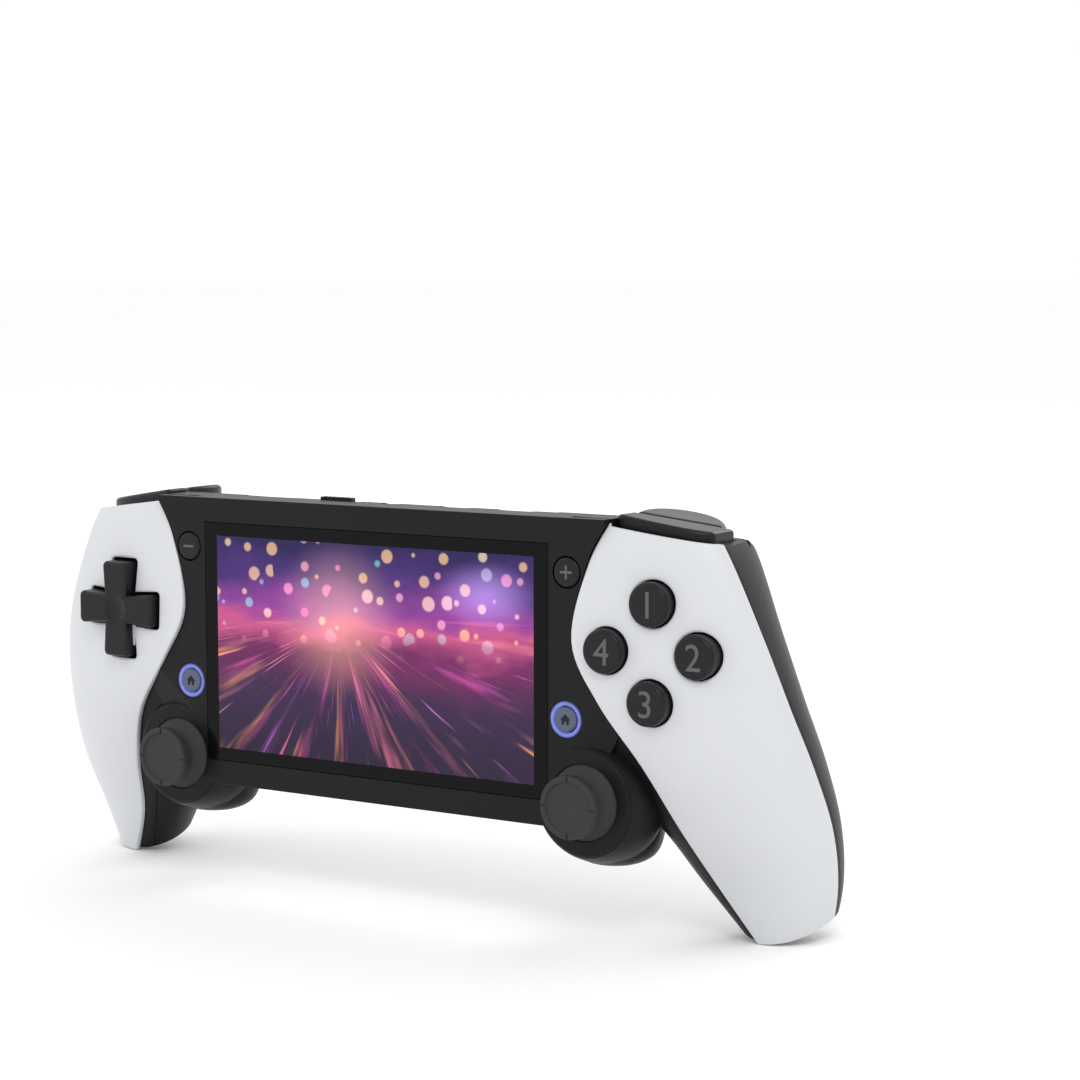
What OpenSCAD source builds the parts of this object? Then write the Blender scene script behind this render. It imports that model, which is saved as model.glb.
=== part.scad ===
// Handheld game console with grips, thumbsticks, shoulder keys and a wide screen.
// Frame: X to the right seen from the front, Y to the back, Z up.
// The pieces are drawn with the screen centre at zero and lifted once at the end.

/* [Screen] */
// Width of the lit picture
view_w = 95; // [86:0.1:104]
// Height of the lit picture
view_h = 53.9; // [50:0.1:58]
// Dark border of the window beside the picture
border_w = 3.8; // [3:0.1:5]
// Dark border of the window above and below the picture
border_h = 3.25; // [3:0.05:4.5]
// Thickness of the window
lens_t = 1; // [0.7:0.1:1.2]
// Thickness of the screen module
lcd_t = 3; // [2:0.1:3.2]

/* [Body] */
// Front plate above and below the window
plate_margin = 6.2; // [5.5:0.1:8]
// Thickness of the middle of the body
body_t = 17; // [16.5:0.1:19]
// Wall of the black shells
wall = 1.8; // [1.5:0.1:2.1]
// Thickness of the white covers
cover_t = 1.2; // [1:0.1:1.5]
// Plate between the window and the waist of a cover
side_margin = 7; // [6:0.1:12]
// Depth of the grips behind the front plate
grip_depth = 43.5; // [42:0.1:48]
// Drop of the grips below the screen centre
grip_drop = 63; // [60:0.1:68]
// Seam between neighbouring pieces that do not move
seam = 0.15; // [0.1:0.05:0.2]

/* [Controls] */
// Gap round a moving key
key_gap = 0.35; // [0.3:0.05:0.5]
// Diameter of a face button
button_d = 10.4; // [9:0.1:11]
// Distance of the face buttons from the middle of their group
button_pitch = 11.3; // [10.8:0.1:12]
// Height of a face button above its cover
button_proud = 2.4; // [1.5:0.1:3]
// Travel of a face button
button_travel = 1.2; // [0.8:0.1:1.4]
// Span of the direction pad
dpad_span = 24.5; // [22:0.1:26]
// Width of an arm of the direction pad
dpad_arm = 7.3; // [6.5:0.1:8.5]
// Height of the direction pad above the plate
dpad_proud = 3.2; // [2.5:0.1:4]
// Diameter of a thumbstick cap
stick_d = 15; // [13:0.1:16]
// Height of a thumbstick cap above the plate
stick_proud = 7; // [6:0.1:9]
// Diameter of the small option buttons
option_d = 7; // [6:0.1:8]
// Diameter of the home buttons
home_d = 5.9; // [5.5:0.1:6.5]
// Width of the light ring round a home button
ring_w = 1.1; // [0.8:0.1:1.4]

/* [Shoulder keys] */
// Length of a bumper
bumper_len = 24; // [22:0.1:25]
// Depth of a bumper from front to back
bumper_depth = 6.6; // [6:0.1:7]
// Travel of a bumper
bumper_travel = 1; // [0.6:0.1:1.2]
// Depth of a trigger behind its bumper
trigger_depth = 15; // [13:0.1:16]
// Diameter of the trigger pins
pin_d = 2; // [1.6:0.1:2.4]
// Running clearance of a pivot
pivot_fit = 0.05; // [0.03:0.01:0.08]

/* [Inside] */
// Thickness of the main board
board_t = 1.2; // [1:0.1:1.6]
// Width of the battery
battery_w = 64; // [50:1:70]
// Height of the battery
battery_h = 38; // [30:1:40]
// Diameter of a headphone plug
plug_d = 3.5; // [3.5:0.1:3.6]

/* [Hidden] */
$fn = 48;

black = [0.16, 0.16, 0.17];
white = [0.92, 0.93, 0.94];
dark = [0.1, 0.1, 0.11];
grey = [0.25, 0.25, 0.27];
metal = [0.7, 0.7, 0.72];
green = [0.1, 0.35, 0.2];
rubber = [0.55, 0.55, 0.56];
glow = [0.45, 0.5, 0.95];

lens_w = view_w + 2 * border_w;
lens_h = view_h + 2 * border_h;
half_h = lens_h / 2 + plate_margin;
side_x = lens_w / 2 + side_margin;
mid_y = (grip_depth - stick_proud) / 2;
cover_bed = cover_t + seam;
slab_x = side_x - 2.3;
slab_front = 0.5;
panel_blend_x = side_x - 11.3;

// Centres of the control groups and of the sticks
group_x = side_x + 20.9;
group_z = 6.5;
stick_x = side_x + 2.7;
stick_z = -29.8;

// Grip stations from the top down. Each row holds: height, then across and depth of the cover's inner edge,
// of its outer edge, across and drop of the rear crest, across and depth of the inner flank, and how far the
// flank stands free of the body. Across values count from the waist of the cover.
stations = [
    [37, 9.7, 1.8, 31, 9.6, 21.7, 10.5, -11.3, 12, 0],
    [26, 3.8, 0.4, 37.8, 8.8, 24.7, 8, -11.3, 16, 0],
    [8, 0, -1, 45.6, 10.2, 27.7, 8, -11.3, 16.5, 0],
    [-6, 7.1, -0.9, 49.7, 13.8, 30.9, 6, -11.3, 16.5, 0],
    [-20, 17.1, 1.8, 52.5, 19.9, 34.7, 2.5, -6, 16.5, 0.25],
    [-0.56 * grip_drop, 24, 8, 54.1, 26.6, 38.9, 0.5, 13.5, 17, 1],
    [-0.8 * grip_drop, 30.1, 16.5, 52.5, 32.5, 42.2, 0, 22.2, 25, 1],
    [-1.05 * grip_drop, 38.7, 23, 47.7, 37.5, 42.7, 2.5, 33.7, 31, 1]
];
station_count = len(stations);
rings_per_station = 2;
swell_power = 2.2;

function spline(p0, p1, p2, p3, t) =
    0.5 * (2 * p1 + (p2 - p0) * t + (2 * p0 - 5 * p1 + 4 * p2 - p3) * t * t
    + (3 * p1 - p0 - 3 * p2 + p3) * t * t * t);
function station_at(s) =
    let (i = min(floor(s), station_count - 2), last = station_count - 1)
    spline(stations[max(i - 1, 0)], stations[i], stations[i + 1], stations[min(i + 2, last)], s - i);
function station_of(z, i = 0) =
    (i >= station_count - 2 || stations[i + 1][0] <= z)
    ? i + (z - stations[i][0]) / (stations[i + 1][0] - stations[i][0])
    : station_of(z, i + 1);
function bezier(a, b, c, d, t) =
    a * pow(1 - t, 3) + b * 3 * t * pow(1 - t, 2) + c * 3 * t * t * (1 - t) + d * pow(t, 3);
function curve(a, b, c, d, n) = [for (i = [1:n]) bezier(a, b, c, d, i / n)];

// A quarter of a superellipse that leaves a along X and meets b along Y
function swell(a, b, n) = [
    for (i = [0:n])
        let (q = 90 * i / n)
        [a.x + (b.x - a.x) * pow(sin(q), 2 / swell_power),
         b.y - (b.y - a.y) * pow(cos(q), 2 / swell_power)]
];

function inner_edge(row, out = 0) = [side_x + row[1], row[2] + out];
function outer_edge(row, out = 0) = [side_x + row[3] - out, row[4]];

// Depth of the cover's face at a place on it
function cover_y(x, z) =
    let (row = station_at(station_of(z)), a = inner_edge(row), b = outer_edge(row))
    let (u = min(max((x - a.x) / (b.x - a.x), 0), 1))
    b.y - (b.y - a.y) * pow(1 - pow(u, swell_power), 1 / swell_power);

// Outline of a grip at one station, moved in by a wall
function grip_outline(row, inset) =
    let (free = min(max(row[9], 0), 1))
    let (i = inner_edge(row, cover_bed) + [inset, inset])
    let (o = outer_edge(row) - [inset, 0])
    let (c = [side_x + row[5] + inset * (1 - free) / 2, grip_depth - row[6] - inset])
    let (f = [side_x + row[7] + inset * (1 + free) / 2, row[8] - inset * (1 - free)])
    let (back = c - f)
    concat(
        swell(i, [o.x - cover_bed, o.y], 8),
        [o],
        curve(o, o + [0, 0.55 * (c.y - o.y)], c + [0.55 * (o.x - c.x), 0], c, 6),
        curve(c, c - [(0.7 - 0.15 * free) * back.x, 0],
            f + [(0.75 * (1 - free)) * back.x, 0.55 * free * back.y], f, 8),
        curve(f, f - [0, 0.55 * (f.y - i.y)], i - [0.55 * (i.x - f.x), 0], i, 6)
    );

// Section of a cover at one station
function cover_outline(row) =
    let (back = swell(inner_edge(row, cover_t), outer_edge(row, cover_t) - [0, seam], 9))
    concat(
        swell(inner_edge(row), outer_edge(row) - [0, seam], 9),
        [for (i = [9:-1:0]) back[i]]
    );

function without_last(list) = [for (i = [0:len(list) - 2]) list[i]];
function side_faces(rings, n) = [
    for (k = [0:rings - 2], i = [0:n - 1], half = [0, 1])
        let (a = k * n + i, b = k * n + (i + 1) % n)
        half == 0 ? [a, b, b + n] : [a, b + n, a + n]
];

// Loft through a list of outlines with as many points each
module loft(outlines, heights) {
    rings = len(outlines);
    n = len(outlines[0]);
    points = [for (k = [0:rings - 1], p = outlines[k]) [p.x, p.y, heights[k]]];
    top = [for (i = [n - 1:-1:0]) i];
    bottom = [for (i = [0:n - 1]) (rings - 1) * n + i];
    polyhedron(points, concat([top], side_faces(rings, n), [bottom]));
}

ring_stations = [for (k = [0:(station_count - 1) * rings_per_station]) k / rings_per_station];
ring_rows = [for (s = ring_stations) station_at(s)];
ring_heights = [for (row = ring_rows) row[0]];

module along_y(y0, y1)
    translate([0, y1, 0])
        rotate([90, 0, 0])
            linear_extrude(y1 - y0)
                children();

module along_x(x0, x1)
    translate([x0, 0, 0])
        rotate([90, 0, 90])
            linear_extrude(x1 - x0)
                children();

module rod_y(x, z, y0, y1, r)
    translate([x, y0, z])
        rotate([-90, 0, 0])
            cylinder(h = y1 - y0, r = r);

module both_sides() {
    children();
    mirror([1, 0, 0])
        children();
}

function arc(centre, r, from, to, n = 6) = [
    for (i = [0:n])
        let (a = from + (to - from) * i / n)
        centre + r * [cos(a), sin(a)]
];

// Side view of the middle of the body: front edges lightly rounded, rear edges well rounded
edge_front_r = 1.5;
edge_rear_r = 6.5;
function slab_profile(inset) =
    let (y0 = slab_front + (inset > 0 ? inset - slab_front : 0), y1 = body_t - inset)
    let (h = half_h - inset, rf = edge_front_r, rr = edge_rear_r - inset)
    concat(
        arc([y1 - rr, h - rr], rr, 90, 0),
        arc([y1 - rr, rr - h], rr, 0, -90),
        arc([y0 + rf, rf - h], rf, -90, -180),
        arc([y0 + rf, h - rf], rf, 180, 90)
    );

// Half outline of the front plate, seen from the front
plate_edge_stations = [0:0.25:3.5];
plate_half = concat(
    [[0, half_h]],
    [[side_x + stations[0][1] - seam, half_h]],
    [for (s = plate_edge_stations) let (row = station_at(s)) if (row[0] < half_h)
        [side_x + row[1] - seam, row[0]]],
    [[stick_x, stick_z], [stick_x, -half_h], [0, -half_h]]
);

pod_r = 12.75;
plate_t = 2.2;
plate_outline = concat(
    plate_half,
    [for (i = [len(plate_half) - 2:-1:1]) [-plate_half[i].x, plate_half[i].y]]
);
// The plate falls back beside the pods, so that their round faces stand proud there
fall_turn = 50;
fall_start = -12.6;
fall_slope = 0.2;
module plate_fall()
    translate([stick_x, 0, stick_z])
        rotate([0, fall_turn, 0])
            linear_extrude(4 * pod_r)
                polygon([
                    [fall_start, 0],
                    [3 * pod_r, fall_slope * (3 * pod_r - fall_start)],
                    [3 * pod_r, -plate_t],
                    [fall_start - plate_t / fall_slope, -plate_t]
                ]);
module plate()
    difference() {
        along_y(0, plate_t)
            polygon(plate_outline);
        both_sides() plate_fall();
    }

// Round housing of a thumbstick: flat face, flared wall, and behind it a bullet that swells out of the panel
pod_flare_r = 15.8;
pod_back_y = body_t + 1.5;
pod_back_r = 8.6;
function pod_profile(inset) = [
    [0, inset], [pod_r - inset, inset], [pod_r + 1.6 - inset, 3.2], [pod_flare_r - inset, 8.5],
    [pod_flare_r - 0.6 - inset, 12], [pod_flare_r - 3.2 - inset, body_t - 1.6],
    [pod_back_r + 1.6 - inset, body_t], [pod_back_r - inset, pod_back_y - inset / 2],
    [0, pod_back_y - inset / 2]
];
bullet_y = 14.5;
bullet_r = 11.9;
bullet_top = stick_z + 12.3;
bullet_low = stick_z - 16.8;
bullet_rows = [[0, 0], [0.34, 0.035], [0.61, 0.135], [0.79, 0.27], [0.92, 0.45], [1, 0.64], [0.97, 0.79],
    [0.82, 0.91], [0.5, 0.98], [0, 1]];
module bullet(inset)
    translate([stick_x, bullet_y, 0])
        rotate_extrude()
            polygon([for (row = bullet_rows) [
                row[0] * (bullet_r - inset),
                bullet_top - inset - row[1] * (bullet_top - bullet_low - 2 * inset)
            ]]);
module pod(inset) {
    translate([stick_x, 0, stick_z])
        rotate([-90, 0, 0])
            rotate_extrude()
                polygon(pod_profile(inset));
    bullet(inset);
}

module grip(inset)
    loft([for (row = ring_rows) without_last(grip_outline(row, inset))], ring_heights);

// Slanted end of a grip, square to the way the grip leans
end_tilt = 23;
end_y = 21.7;
module below_grip_end(inset)
    along_x(side_x, side_x + 70)
        polygon([
            [end_y - 50, -grip_drop + inset - 50 * tan(end_tilt)],
            [end_y + 60, -grip_drop + inset + 60 * tan(end_tilt)],
            [end_y + 60, -2 * grip_drop],
            [end_y - 50, -2 * grip_drop]
        ]);

// What is cut away above the grips: a slant under the bumpers and one behind the triggers
shoulder_x = side_x + 8.4;
top_slope = 0.133;
lip_slope = 0.44;
lip_y = 12;
module above_bumper(drop)
    along_y(-10, 60)
        polygon([
            [shoulder_x - drop, half_h - 2 - drop],
            [shoulder_x + 60, half_h - 2 - drop - 60 * top_slope],
            [shoulder_x + 60, 80],
            [shoulder_x - drop, 80]
        ]);
module above_lip(drop)
    along_x(panel_blend_x - 10, side_x + 70)
        polygon([
            [lip_y - 10, half_h - drop + 10 * lip_slope],
            [lip_y + 60, half_h - drop - 60 * lip_slope],
            [lip_y + 60, 80],
            [lip_y - 10, 80]
        ]);

module above_edge(drop)
    along_y(-10, 60)
        polygon([
            [panel_blend_x - 10, half_h - drop],
            [side_x + 70, half_h - drop],
            [side_x + 70, 80],
            [panel_blend_x - 10, 80]
        ]);

module trimmed_grip(inset)
    difference() {
        grip(inset);
        above_edge(inset);
        below_grip_end(inset);
        above_bumper(inset);
        above_lip(inset);
    }

module body_solid() {
    along_x(-slab_x, slab_x) polygon(slab_profile(0));
    difference() {
        plate();
        both_sides() above_bumper(0);
    }
    both_sides() trimmed_grip(0);
    both_sides() pod(0);
}

module body_cavity() {
    along_x(-slab_x - wall / 2, slab_x + wall / 2) polygon(slab_profile(wall));
    both_sides() trimmed_grip(wall);
    both_sides() pod(wall);
}

// Space of the front shell: in front of a flat parting, and down the grips behind the covers
part_y = 9.5;
part_step = 0.8;
part_lean = 0.5;
module front_zone() {
    along_x(-2 * side_x, 2 * side_x)
        polygon([[-20, -2 * grip_drop], [part_y, -2 * grip_drop], [part_y, 80], [-20, 80]]);
    both_sides()
        intersection() {
            along_x(side_x - 10, side_x + 70)
                polygon(concat(
                    [for (row = stations) [row[4] + part_step, row[0]]],
                    [[-10, stations[station_count - 1][0]], [-10, stations[0][0]]]
                ));
            along_y(-20, 60)
                polygon([
                    [side_x + 1.7, 0],
                    [side_x + 1.7 + 70 * part_lean, -70],
                    [side_x + 70, -70],
                    [side_x + 70, 0]
                ]);
        }
}

// Pieces inside the middle of the body
lcd_gap = 0.1;
lcd_y = wall + lcd_gap;
lcd_rim = 1.4;
battery_gap = 0.3;
battery_y = lcd_y + lcd_t + battery_gap;
stem_y = 7.6;
dome_gap = 0.3;
dome_h = 0.7;
sheet_t = 0.6;
dome_y = stem_y + button_travel + dome_gap;
sheet_y = dome_y + dome_h;
board_y = sheet_y + sheet_t;
board_top = half_h - wall - 3;
battery_z = 0;

module block(x0, x1, y0, y1, z0, z1)
    translate([x0, y0, z0])
        cube([x1 - x0, y1 - y0, z1 - z0]);

// Buttons: a cap through the cover, a flange behind the wall and a stem towards the board
flange_w = 0.9;
flange_t = 1;
stem_r = 2;
edge_r = 0.6;
skin = 0.8;
button_r = button_d / 2;
button_places = [[0, button_pitch], [button_pitch, 0], [0, -button_pitch], [-button_pitch, 0]];
function button_seat(x, z) = cover_y(x + button_r + flange_w, z) + cover_bed + skin;

module turned_y(x, z, profile)
    translate([x, 0, z])
        rotate([-90, 0, 0])
            rotate_extrude()
                polygon(profile);

// A round key: face, rounded edge, cap wall, flange and stem, from front to back
module round_key(x, z, face, seat, r, stem_end)
    turned_y(x, z, concat(
        [[0, face]],
        arc([r - edge_r, face + edge_r], edge_r, -90, 0, 4),
        [[r, seat + key_gap], [r + flange_w, seat + key_gap]],
        [[r + flange_w, seat + key_gap + flange_t], [stem_r, seat + key_gap + flange_t]],
        [[stem_r, stem_end], [0, stem_end]]
    ));

module key_opening(x, z, seat, r) {
    rod_y(x, z, -10, seat + 0.1, r + key_gap);
    rod_y(x, z, seat, stem_y + 1, r + flange_w + key_gap);
}

module face_button(i) {
    x = group_x + button_places[i].x;
    z = group_z + button_places[i].y;
    round_key(x, z, cover_y(x, z) - button_proud, button_seat(x, z), button_r, stem_y);
}

option_x = side_x - 1.7;
option_z = 23.8;
option_face = -0.3;
plate_seat = wall;
plate_stem_y = 6.5;
home_x = side_x - 1.9;
home_z = -10.6;
home_r = home_d / 2;
ring_r = home_r + key_gap + ring_w;

module plate_openings() {
    both_sides() key_opening(option_x, option_z, plate_seat, option_d / 2);
    both_sides() {
        rod_y(home_x, home_z, -1, plate_seat + 0.1, ring_r + seam);
        rod_y(home_x, home_z, plate_seat, stem_y + 1, ring_r + key_gap);
    }
}

// Direction pad: a cross with flared arms and rounded tips
dpad_gap = 0.75;
dpad_tip_r = 1.2;
dpad_flare = 0.5;
dpad_flange = 1.2;
dpad_flange_y = 6;
dpad_pivot_y = 4;
ball_r = 1.8;
pillar_gap = 0.3;
dpad_seat_y = 4.4;
function turn(p, a) = [p.x * cos(a) - p.y * sin(a), p.x * sin(a) + p.y * cos(a)];
function cross_outline(grow) =
    let (tip = dpad_span / 2 + grow, half = dpad_arm / 2 + grow, end = half + dpad_flare, r = dpad_tip_r)
    [for (k = [0:3], p = concat(
        [[half, -half]],
        arc([tip - r, r - end], r, -90, 0, 3),
        arc([tip - r, end - r], r, 0, 90, 3)
    )) turn(p, 90 * k)];

module cross(y0, y1, grow)
    translate([-group_x, 0, group_z])
        along_y(y0, y1)
            polygon(cross_outline(grow));

// Rings of the pad's cap: how far in from the outline and how far below its face
dpad_rings = [[-0.8, 0], [-0.35, 0.15], [-0.1, 0.45], [0, 0.9]];
module dpad_cap()
    translate([-group_x, 0, group_z])
        rotate([90, 0, 0])
            loft(
                concat([for (ring = dpad_rings) cross_outline(ring[0])], [cross_outline(0)]),
                concat([for (ring = dpad_rings) dpad_proud - ring[1]], [-dpad_flange_y - 0.1])
            );

module dpad_opening() {
    cross(-10, dpad_seat_y + 0.1, dpad_gap);
    cross(dpad_seat_y, stem_y + 1, dpad_flange + dpad_gap);
}

dome_r = 2.6;
dome_ring = 8.5;

// Thumbsticks: the cap turns about a cross pin, which turns in the ears of the base
stick_pivot_y = 8.2;
bowl_r = 12;
bowl_t = 1.2;
bowl_gap = 0.35;
bowl_angle = 63;
neck_r = 3.4;
cap_t = 2.5;
dish_d = 0.6;
rim_w = 1.4;
notch_w = 0.5;
notch_d = 0.35;
stick_r = stick_d / 2;
cross_pin_r = 1.2;
fork_gap = 0.4;
fork_t = 1.4;
ear_t = 1.6;
base_w = 12;
base_top = 12;
base_bottom = 15;
carrier_t = 1.2;
carrier_r = 8;
post_r = 1.3;
post_ring = 6;

module stick_posts()
    intersection() {
        bullet(wall / 2);
        for (a = [45:90:315])
            rod_y(stick_x + post_ring * cos(a), stick_z + post_ring * sin(a),
                base_bottom + carrier_t, grip_depth, post_r);
    }

// Shoulder keys, placed in a frame that follows the slant of the bumper's back edge
shoulder_yaw = 18.4;
shoulder_y = 5.2;
key_top_slope = 0.161;
key_top_z = half_h + 1.1;
bumper_x = side_x + 8.9;
bumper_bottom = half_h - 7.9;
bumper_set = cover_bed + wall + key_gap;
bumper_row_z = 33;
bumper_steps = 8;
trigger_v = bumper_depth + 0.5;
trigger_u = 13.3;
trigger_half = 10.4;
trigger_bottom = half_h - 13.9;
trigger_wall = 1.6;
pin_v = bumper_depth + 3;
pin_z = half_h - 5.9;
pin_r = pin_d / 2;
rib_t = 1.5;
rib_us = [trigger_u - 6.1, trigger_u + 5.4];
lug_us = [trigger_u - 4.3, trigger_u + 3.7];
lug_t = 1.4;
pocket_bottom = half_h - 16.2;
rib_z = [pocket_bottom - 6.2, pocket_bottom - 0.7, pocket_bottom + 2.8];
rib_v = trigger_v + 6.5;
ledge_t = 2.2;
ledge_w = 1.2;
switch_r = 1.4;
push_r = 1.2;
push_v = pin_v + pin_r + push_r + 0.4;
push_z = pin_z - 2.5;

module shoulder_frame()
    translate([bumper_x - 0.2, shoulder_y, 0])
        rotate([0, 0, shoulder_yaw])
            children();

function bumper_back(x, grow) =
    shoulder_y + (x - bumper_x) * tan(shoulder_yaw) + (bumper_depth + grow) / cos(shoulder_yaw);
function bumper_plan(grow) =
    let (x0 = bumper_x - grow, x1 = bumper_x + bumper_len * cos(shoulder_yaw) + grow)
    concat(
        [for (i = [0:bumper_steps]) let (x = x0 + (x1 - x0) * i / bumper_steps)
            [x, cover_y(x, bumper_row_z) + bumper_set - grow]],
        [[x1, bumper_back(x1, grow)], [x0, bumper_back(x0, grow)]]
    );
function trigger_plan(grow, front) = concat(
    [[trigger_u - trigger_half - grow, front], [trigger_u + trigger_half + grow, front]],
    [for (a = [0:12:180])
        [trigger_u + (trigger_half + grow) * cos(a), trigger_v + (trigger_depth + grow) * pow(sin(a), 0.85)]]
);

// What lies above the sloping tops of the shoulder keys
module above_keys(drop)
    along_y(-10, 60)
        polygon([
            [bumper_x - 20, key_top_z - drop + 20 * key_top_slope],
            [bumper_x + 60, key_top_z - drop - 60 * key_top_slope],
            [bumper_x + 60, 90],
            [bumper_x - 20, 90]
        ]);

module shoulder_opening() {
    translate([0, 0, pocket_bottom])
        linear_extrude(60)
            polygon(bumper_plan(key_gap));
    shoulder_frame()
        translate([0, 0, pocket_bottom])
            linear_extrude(60)
                polygon(trigger_plan(key_gap, trigger_v - 1));
}

module bumper()
    difference() {
        translate([0, 0, bumper_bottom])
            linear_extrude(20)
                polygon(bumper_plan(0));
        above_keys(0);
    }

module pin_bore(r)
    translate([0, pin_v, pin_z])
        rotate([0, 90, 0])
            translate([0, 0, -10])
                cylinder(h = 60, r = r);

module trigger() {
    difference() {
        shoulder_frame()
            translate([0, 0, trigger_bottom])
                linear_extrude(20)
                    polygon(trigger_plan(0, trigger_v));
        difference() {
            shoulder_frame()
                translate([0, 0, trigger_bottom - 1])
                    linear_extrude(30)
                        polygon(trigger_plan(-trigger_wall, trigger_v - 1));
            above_keys(trigger_wall);
        }
        above_keys(0);
    }
    difference() {
        shoulder_frame() {
            for (u = lug_us)
                translate([u, trigger_v, pin_z - 2.2])
                    cube([lug_t, 2 * (pin_v - trigger_v), 20]);
            translate([trigger_u, push_v, push_z])
                cylinder(h = 20, r = push_r);
        }
        above_keys(trigger_wall / 2);
        shoulder_frame()
            pin_bore(pin_r + pivot_fit);
    }
}

// Ribs of the rear shell that carry the trigger pin and the small board
module shoulder_ribs()
    shoulder_frame() {
        for (u = rib_us)
            along_x(u, u + rib_t)
                polygon([
                    [0, rib_z[2] - ledge_t], [pin_v - 2, rib_z[2] - ledge_t], [pin_v - 1, rib_z[0]],
                    [40, rib_z[0]], [40, rib_z[1]], [rib_v + 0.5, rib_z[1]],
                    [rib_v, rib_z[2]], [pin_v + 2, rib_z[2]], [pin_v + 1.8, pin_z + 1.8],
                    [pin_v - 1.8, pin_z + 1.8], [pin_v - 2, rib_z[2]], [0, rib_z[2]]
                ]);
        block(rib_us[0] + rib_t / 2, rib_us[0] + rib_t + ledge_w, 1, rib_v,
            rib_z[2] - ledge_t, rib_z[2] - board_t);
        block(rib_us[1] - ledge_w, rib_us[1] + rib_t / 2, 1, rib_v,
            rib_z[2] - ledge_t, rib_z[2] - board_t);
    }

module shoulder_board()
    shoulder_frame() {
        block(rib_us[0] + rib_t + seam, rib_us[1] - seam, 1, rib_v, rib_z[2] - board_t, rib_z[2]);
        translate([trigger_u, bumper_depth / 2, rib_z[2]])
            cylinder(h = bumper_bottom - bumper_travel - key_gap - rib_z[2], r = switch_r);
        translate([trigger_u, push_v, rib_z[2]])
            cylinder(h = push_z - 2 * key_gap - rib_z[2], r = switch_r);
    }

module trigger_pin()
    shoulder_frame()
        translate([rib_us[0], pin_v, pin_z])
            rotate([0, 90, 0])
                cylinder(h = rib_us[1] + rib_t - rib_us[0], r = pin_r);

// Screws: across, height, joint between the shells and depth of the head's seat
screw_places = [[side_x + 30.7, 17, 13, 15.5], [side_x + 34.2, -0.786 * grip_drop, 30, 32.5]];
screw_r = 1.3;
screw_head_r = 2.2;
screw_head_t = 1.8;
screw_bore_r = 2.5;
boss_r = 2.8;
tube_r = 3.9;
screw_fit = 0.05;

module front_bosses()
    for (s = screw_places)
        rod_y(s[0], s[1], 0, s[2] - seam, boss_r);
module rear_tubes()
    for (s = screw_places)
        rod_y(s[0], s[1], s[2], grip_depth + 5, tube_r);
module screw_pilots()
    for (s = screw_places)
        rod_y(s[0], s[1], s[3] - 9.5, s[2] + 1, screw_r + screw_fit);
module screw_bores()
    for (s = screw_places) {
        rod_y(s[0], s[1], s[2] - 1, s[3] + 1, screw_r + screw_fit);
        rod_y(s[0], s[1], s[3], grip_depth + 5, screw_bore_r);
    }

// Sockets along the top edge: across, width and thickness of each opening
socket_y = board_y + board_t / 2;
socket_top = half_h - 0.4;
card_x = -37.6;
card_w = 11.4;
jack_x = -0.8;
jack_r = plug_d / 2 + 0.05;
jack_nose_r = 2.7;
usb_x = 18.2;
usb_w = 8.94;
usb_t = 3.26;
picture_x = 35.5;
picture_w = 11.2;
picture_t = 3.2;
socket_wall = 0.35;
knob_x = -17.6;
knob_len = 9.6;
knob_w = 2;
knob_proud = 0.8;
knob_travel = 2.5;

module stadium(w, t)
    polygon(concat(
        arc([(w - t) / 2, 0], t / 2, -90, 90, 8),
        arc([(t - w) / 2, 0], t / 2, 90, 270, 8)
    ));

module socket_cut(x, w, t, z0)
    translate([x, socket_y, z0])
        linear_extrude(60)
            stadium(w, t);

module top_openings() {
    socket_cut(card_x, card_w + 0.8, 2, half_h - 8);
    socket_cut(usb_x, usb_w + 2 * seam, usb_t + 2 * seam, half_h - 8);
    socket_cut(picture_x, picture_w + 2 * seam, picture_t + 2 * seam, half_h - 8);
    translate([jack_x, socket_y, half_h - 8])
        cylinder(h = 60, r = jack_nose_r + seam);
    block(knob_x - knob_len / 2 - key_gap, knob_x + knob_len / 2 + knob_travel + key_gap,
        socket_y - knob_w / 2 - key_gap, socket_y + knob_w / 2 + key_gap, half_h - 8, half_h + 5);
}

// Speaker slots in the rear panel, with blind and open holes
grille_x = 26.35;
grille_z = -20.5;
grille_len = 29;
grille_h = 3;
grille_deep = 0.6;
hole_pitch = 3.56;
hole_r = 1;
hole_count = 8;
open_holes = 5;
module grilles() {
    for (side = [-1, 1])
        translate([side * grille_x, 0, grille_z]) {
            along_y(body_t - grille_deep, body_t + 1)
                stadium(grille_len, grille_h);
            for (i = [0:hole_count - 1])
                rod_y(side * (i - (hole_count - 1) / 2) * hole_pitch, 0,
                    side < 0 && i >= hole_count - open_holes ? body_t - wall - 1 : body_t - grille_deep - 0.5,
                    body_t, hole_r);
        }
}

post_in = 7;
board_posts = [
    [9 - slab_x + post_in, post_in - half_h], [slab_x - post_in - 9, post_in - half_h],
    [post_in - slab_x, half_h - post_in - 1.4], [slab_x - post_in, half_h - post_in - 1.4]
];
module rear_posts()
    for (p = board_posts)
        rod_y(p.x, p.y, board_y + board_t, body_t - wall / 2, 2);

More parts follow.
